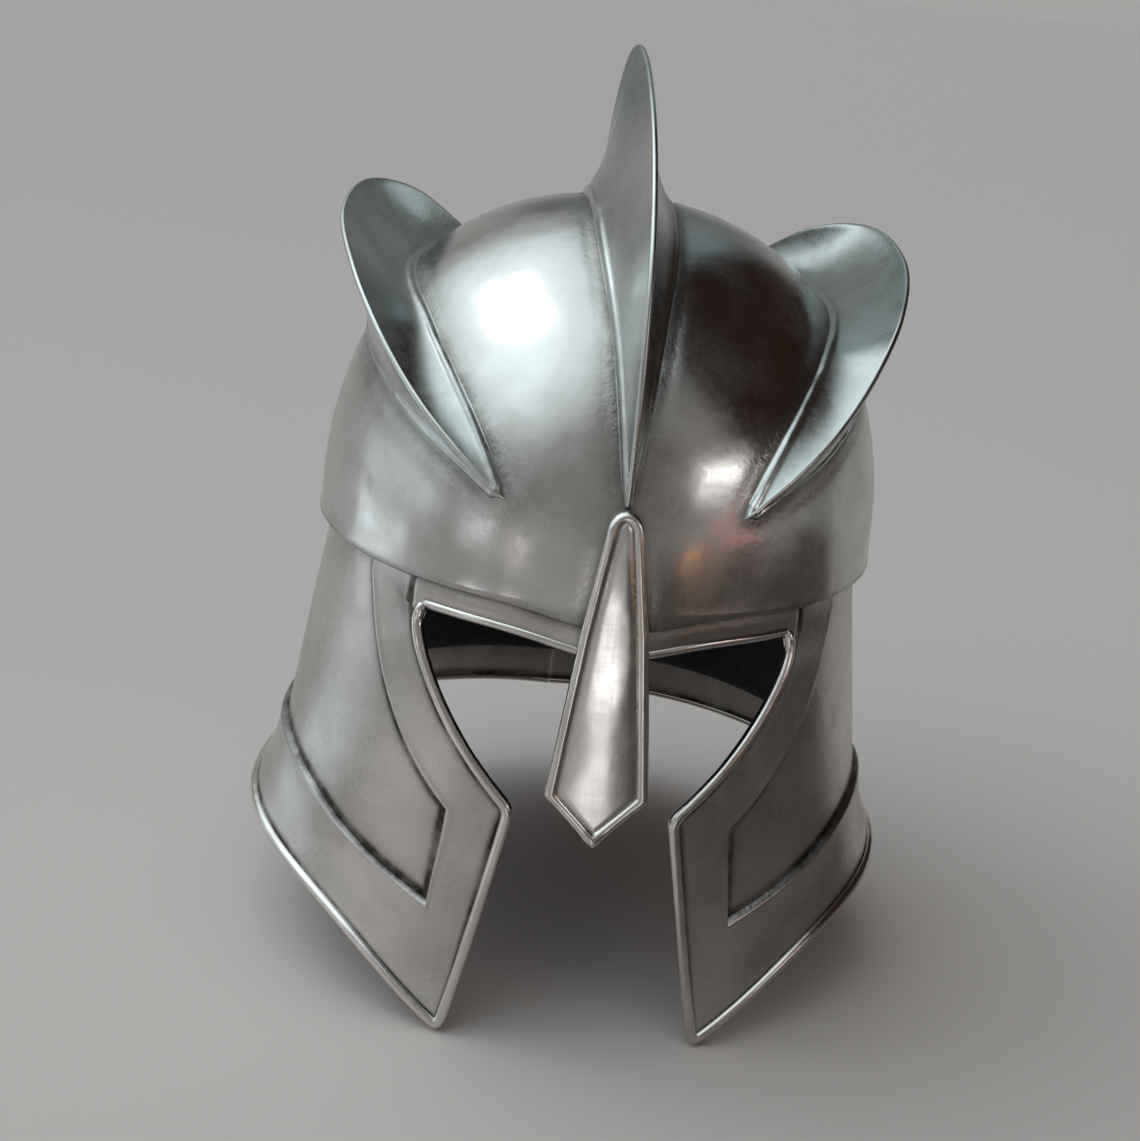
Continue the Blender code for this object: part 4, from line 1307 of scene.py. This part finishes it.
def make_camera():
    azimuth, roll = math.radians(CAMERA_AZIMUTH), math.radians(CAMERA_ROLL)
    back = towards(CAMERA_AZIMUTH, CAMERA_ELEVATION)
    right = Vector((math.cos(azimuth), math.sin(azimuth), 0.0))
    up = back.cross(right)
    image_right = right * math.cos(roll) + up * math.sin(roll)
    image_up = up * math.cos(roll) - right * math.sin(roll)
    data = bpy.data.cameras.new("camera")
    data.sensor_fit = "HORIZONTAL"
    data.sensor_width = SENSOR_MM
    data.lens = FOCAL_PIXELS / IMAGE_SIDE * SENSOR_MM
    data.clip_start = 0.01
    data.clip_end = 100.0
    camera = bpy.data.objects.new("camera", data)
    turn = Matrix((image_right, image_up, back)).transposed().to_4x4()
    camera.matrix_world = Matrix.Translation(Vector(CAMERA_PLACE)) @ turn
    bpy.context.scene.collection.objects.link(camera)
    bpy.context.scene.camera = camera


def softbox(name, azimuth, elevation, distance, width, height, radiance, colour):
    """A rectangular studio light aimed at the helmet."""
    data = bpy.data.lights.new(name, "AREA")
    data.shape = "RECTANGLE"
    data.size = width
    data.size_y = height
    data.energy = radiance * math.pi * width * height
    data.color = colour
    light = bpy.data.objects.new(name, data)
    way = towards(azimuth, elevation)
    light.location = way * distance + LIGHTS_AIM
    light.rotation_euler = way.to_track_quat("Z", "Y").to_euler()
    light.visible_camera = False
    bpy.context.scene.collection.objects.link(light)


def make_floor():
    s = FLOOR_SIZE
    points = [(-s, -s, 0.0), (s, -s, 0.0), (s, s, 0.0), (-s, s, 0.0)]
    floor = mesh_object("studio_floor", points, [(0, 1, 2, 3)])
    floor.location.z = CAD_BOX[0][2] - FLOOR_BELOW
    made = bpy.data.materials.new("pale_floor")
    Nodes(made).shade({"Roughness": 0.9, "Base Color": FLOOR_COLOUR})
    paint(floor, made)


def make_sky():
    world = bpy.data.worlds.new("studio")
    bpy.context.scene.world = world
    n = Nodes(world, "Generated")
    sky = SKY
    for azimuth, elevation, full, gone, colour in SKY_PATCHES:
        dot = n.add("ShaderNodeVectorMath", {0: n.place, 1: towards(azimuth, elevation)},
                    operation="DOT_PRODUCT")
        share = n.ranged(dot.outputs["Value"], math.cos(math.radians(gone)), math.cos(math.radians(full)))
        sky = n.mix(share, sky, colour)
    n.fill(n.tree.nodes["Background"], {"Color": sky})


def glow(name, colour):
    """A glow as strong as the marks of its points."""
    made = bpy.data.materials.new(name)
    n = Nodes(made)
    n.tree.nodes.remove(n.tree.nodes["Principled BSDF"])
    clear = n.add("ShaderNodeBsdfTransparent").outputs[0]
    glowing = n.add("ShaderNodeEmission", {"Color": colour}).outputs[0]
    mixed = n.add("ShaderNodeMixShader", {0: n.marks(), 1: clear, 2: glowing}).outputs[0]
    n.fill(n.tree.nodes["Material Output"], {"Surface": mixed})
    return made


def reflector(name, place, colour, crisp=1.0):
    """A soft-edged studio card that shows only in reflections. place(u, v) gives its points."""
    points, marks = [], []
    for v in spaced(0.0, 1.0, CARD_DOWN):
        for u in spaced(0.0, 1.0, CARD_ACROSS):
            points.append(place(u, v))
            fade = [ease(min(t, 1 - t) * slope * crisp) for t, slope in zip((u, v), CARD_FADE)]
            marks.append(fade[0] * fade[1])
    made = mesh_object(name, points, grid_faces(CARD_DOWN + 1, CARD_ACROSS + 1), marks)
    paint(made, glow(name + "_glow", colour))
    made.visible_camera = False
    made.visible_diffuse = False
    made.visible_shadow = False
    made.visible_transmission = False


def round_card(name, azimuths, reach, heights, colour, crisp=1.0):
    """A card that curves round the helmet, upright or on the floor."""
    def place(u, v):
        return towards(blend(*azimuths, u), 0.0) * blend(*reach, v) + Vector((0.0, 0.0, blend(*heights, v)))
    reflector(name, place, colour, crisp)


def flat_card(name, low, high, colour):
    """An upright flat card between two opposite corners."""
    def place(u, v):
        return Vector((blend(low[0], high[0], u), blend(low[1], high[1], u), blend(low[2], high[2], v)))
    reflector(name, place, colour)


def make_room():
    make_floor()
    make_sky()
    for box in SOFTBOXES:
        softbox(*box)
    for name, azimuths, distance, heights, colour in ROUND_CARDS:
        round_card(name, azimuths, (distance, distance), heights, colour)
    for n, (name, azimuths, reach, colour, crisp) in enumerate(FLOOR_CARDS, 1):
        z = CAD_BOX[0][2] + CARD_GAP * n
        round_card(name, azimuths, reach, (z, z), colour, crisp)
    for card in FLAT_CARDS:
        flat_card(*card)


# ---- assembly ----


def main():
    bpy.context.scene.view_settings.view_transform = "Standard"
    make_camera()
    make_room()
    make_crest()
    make_fin("left", 1)
    make_fin("right", -1)
    make_nasal()
    make_bowl()
    for label, side in (("left", 1), ("right", -1)):
        make_border(label, side)
        make_panel(label, side)
        make_edge_roll(label, side)
        make_lining(label, side)
    make_brow()
    make_bowl_pads()
    make_crown_pad()


main()
bpy.context.view_layer.update()
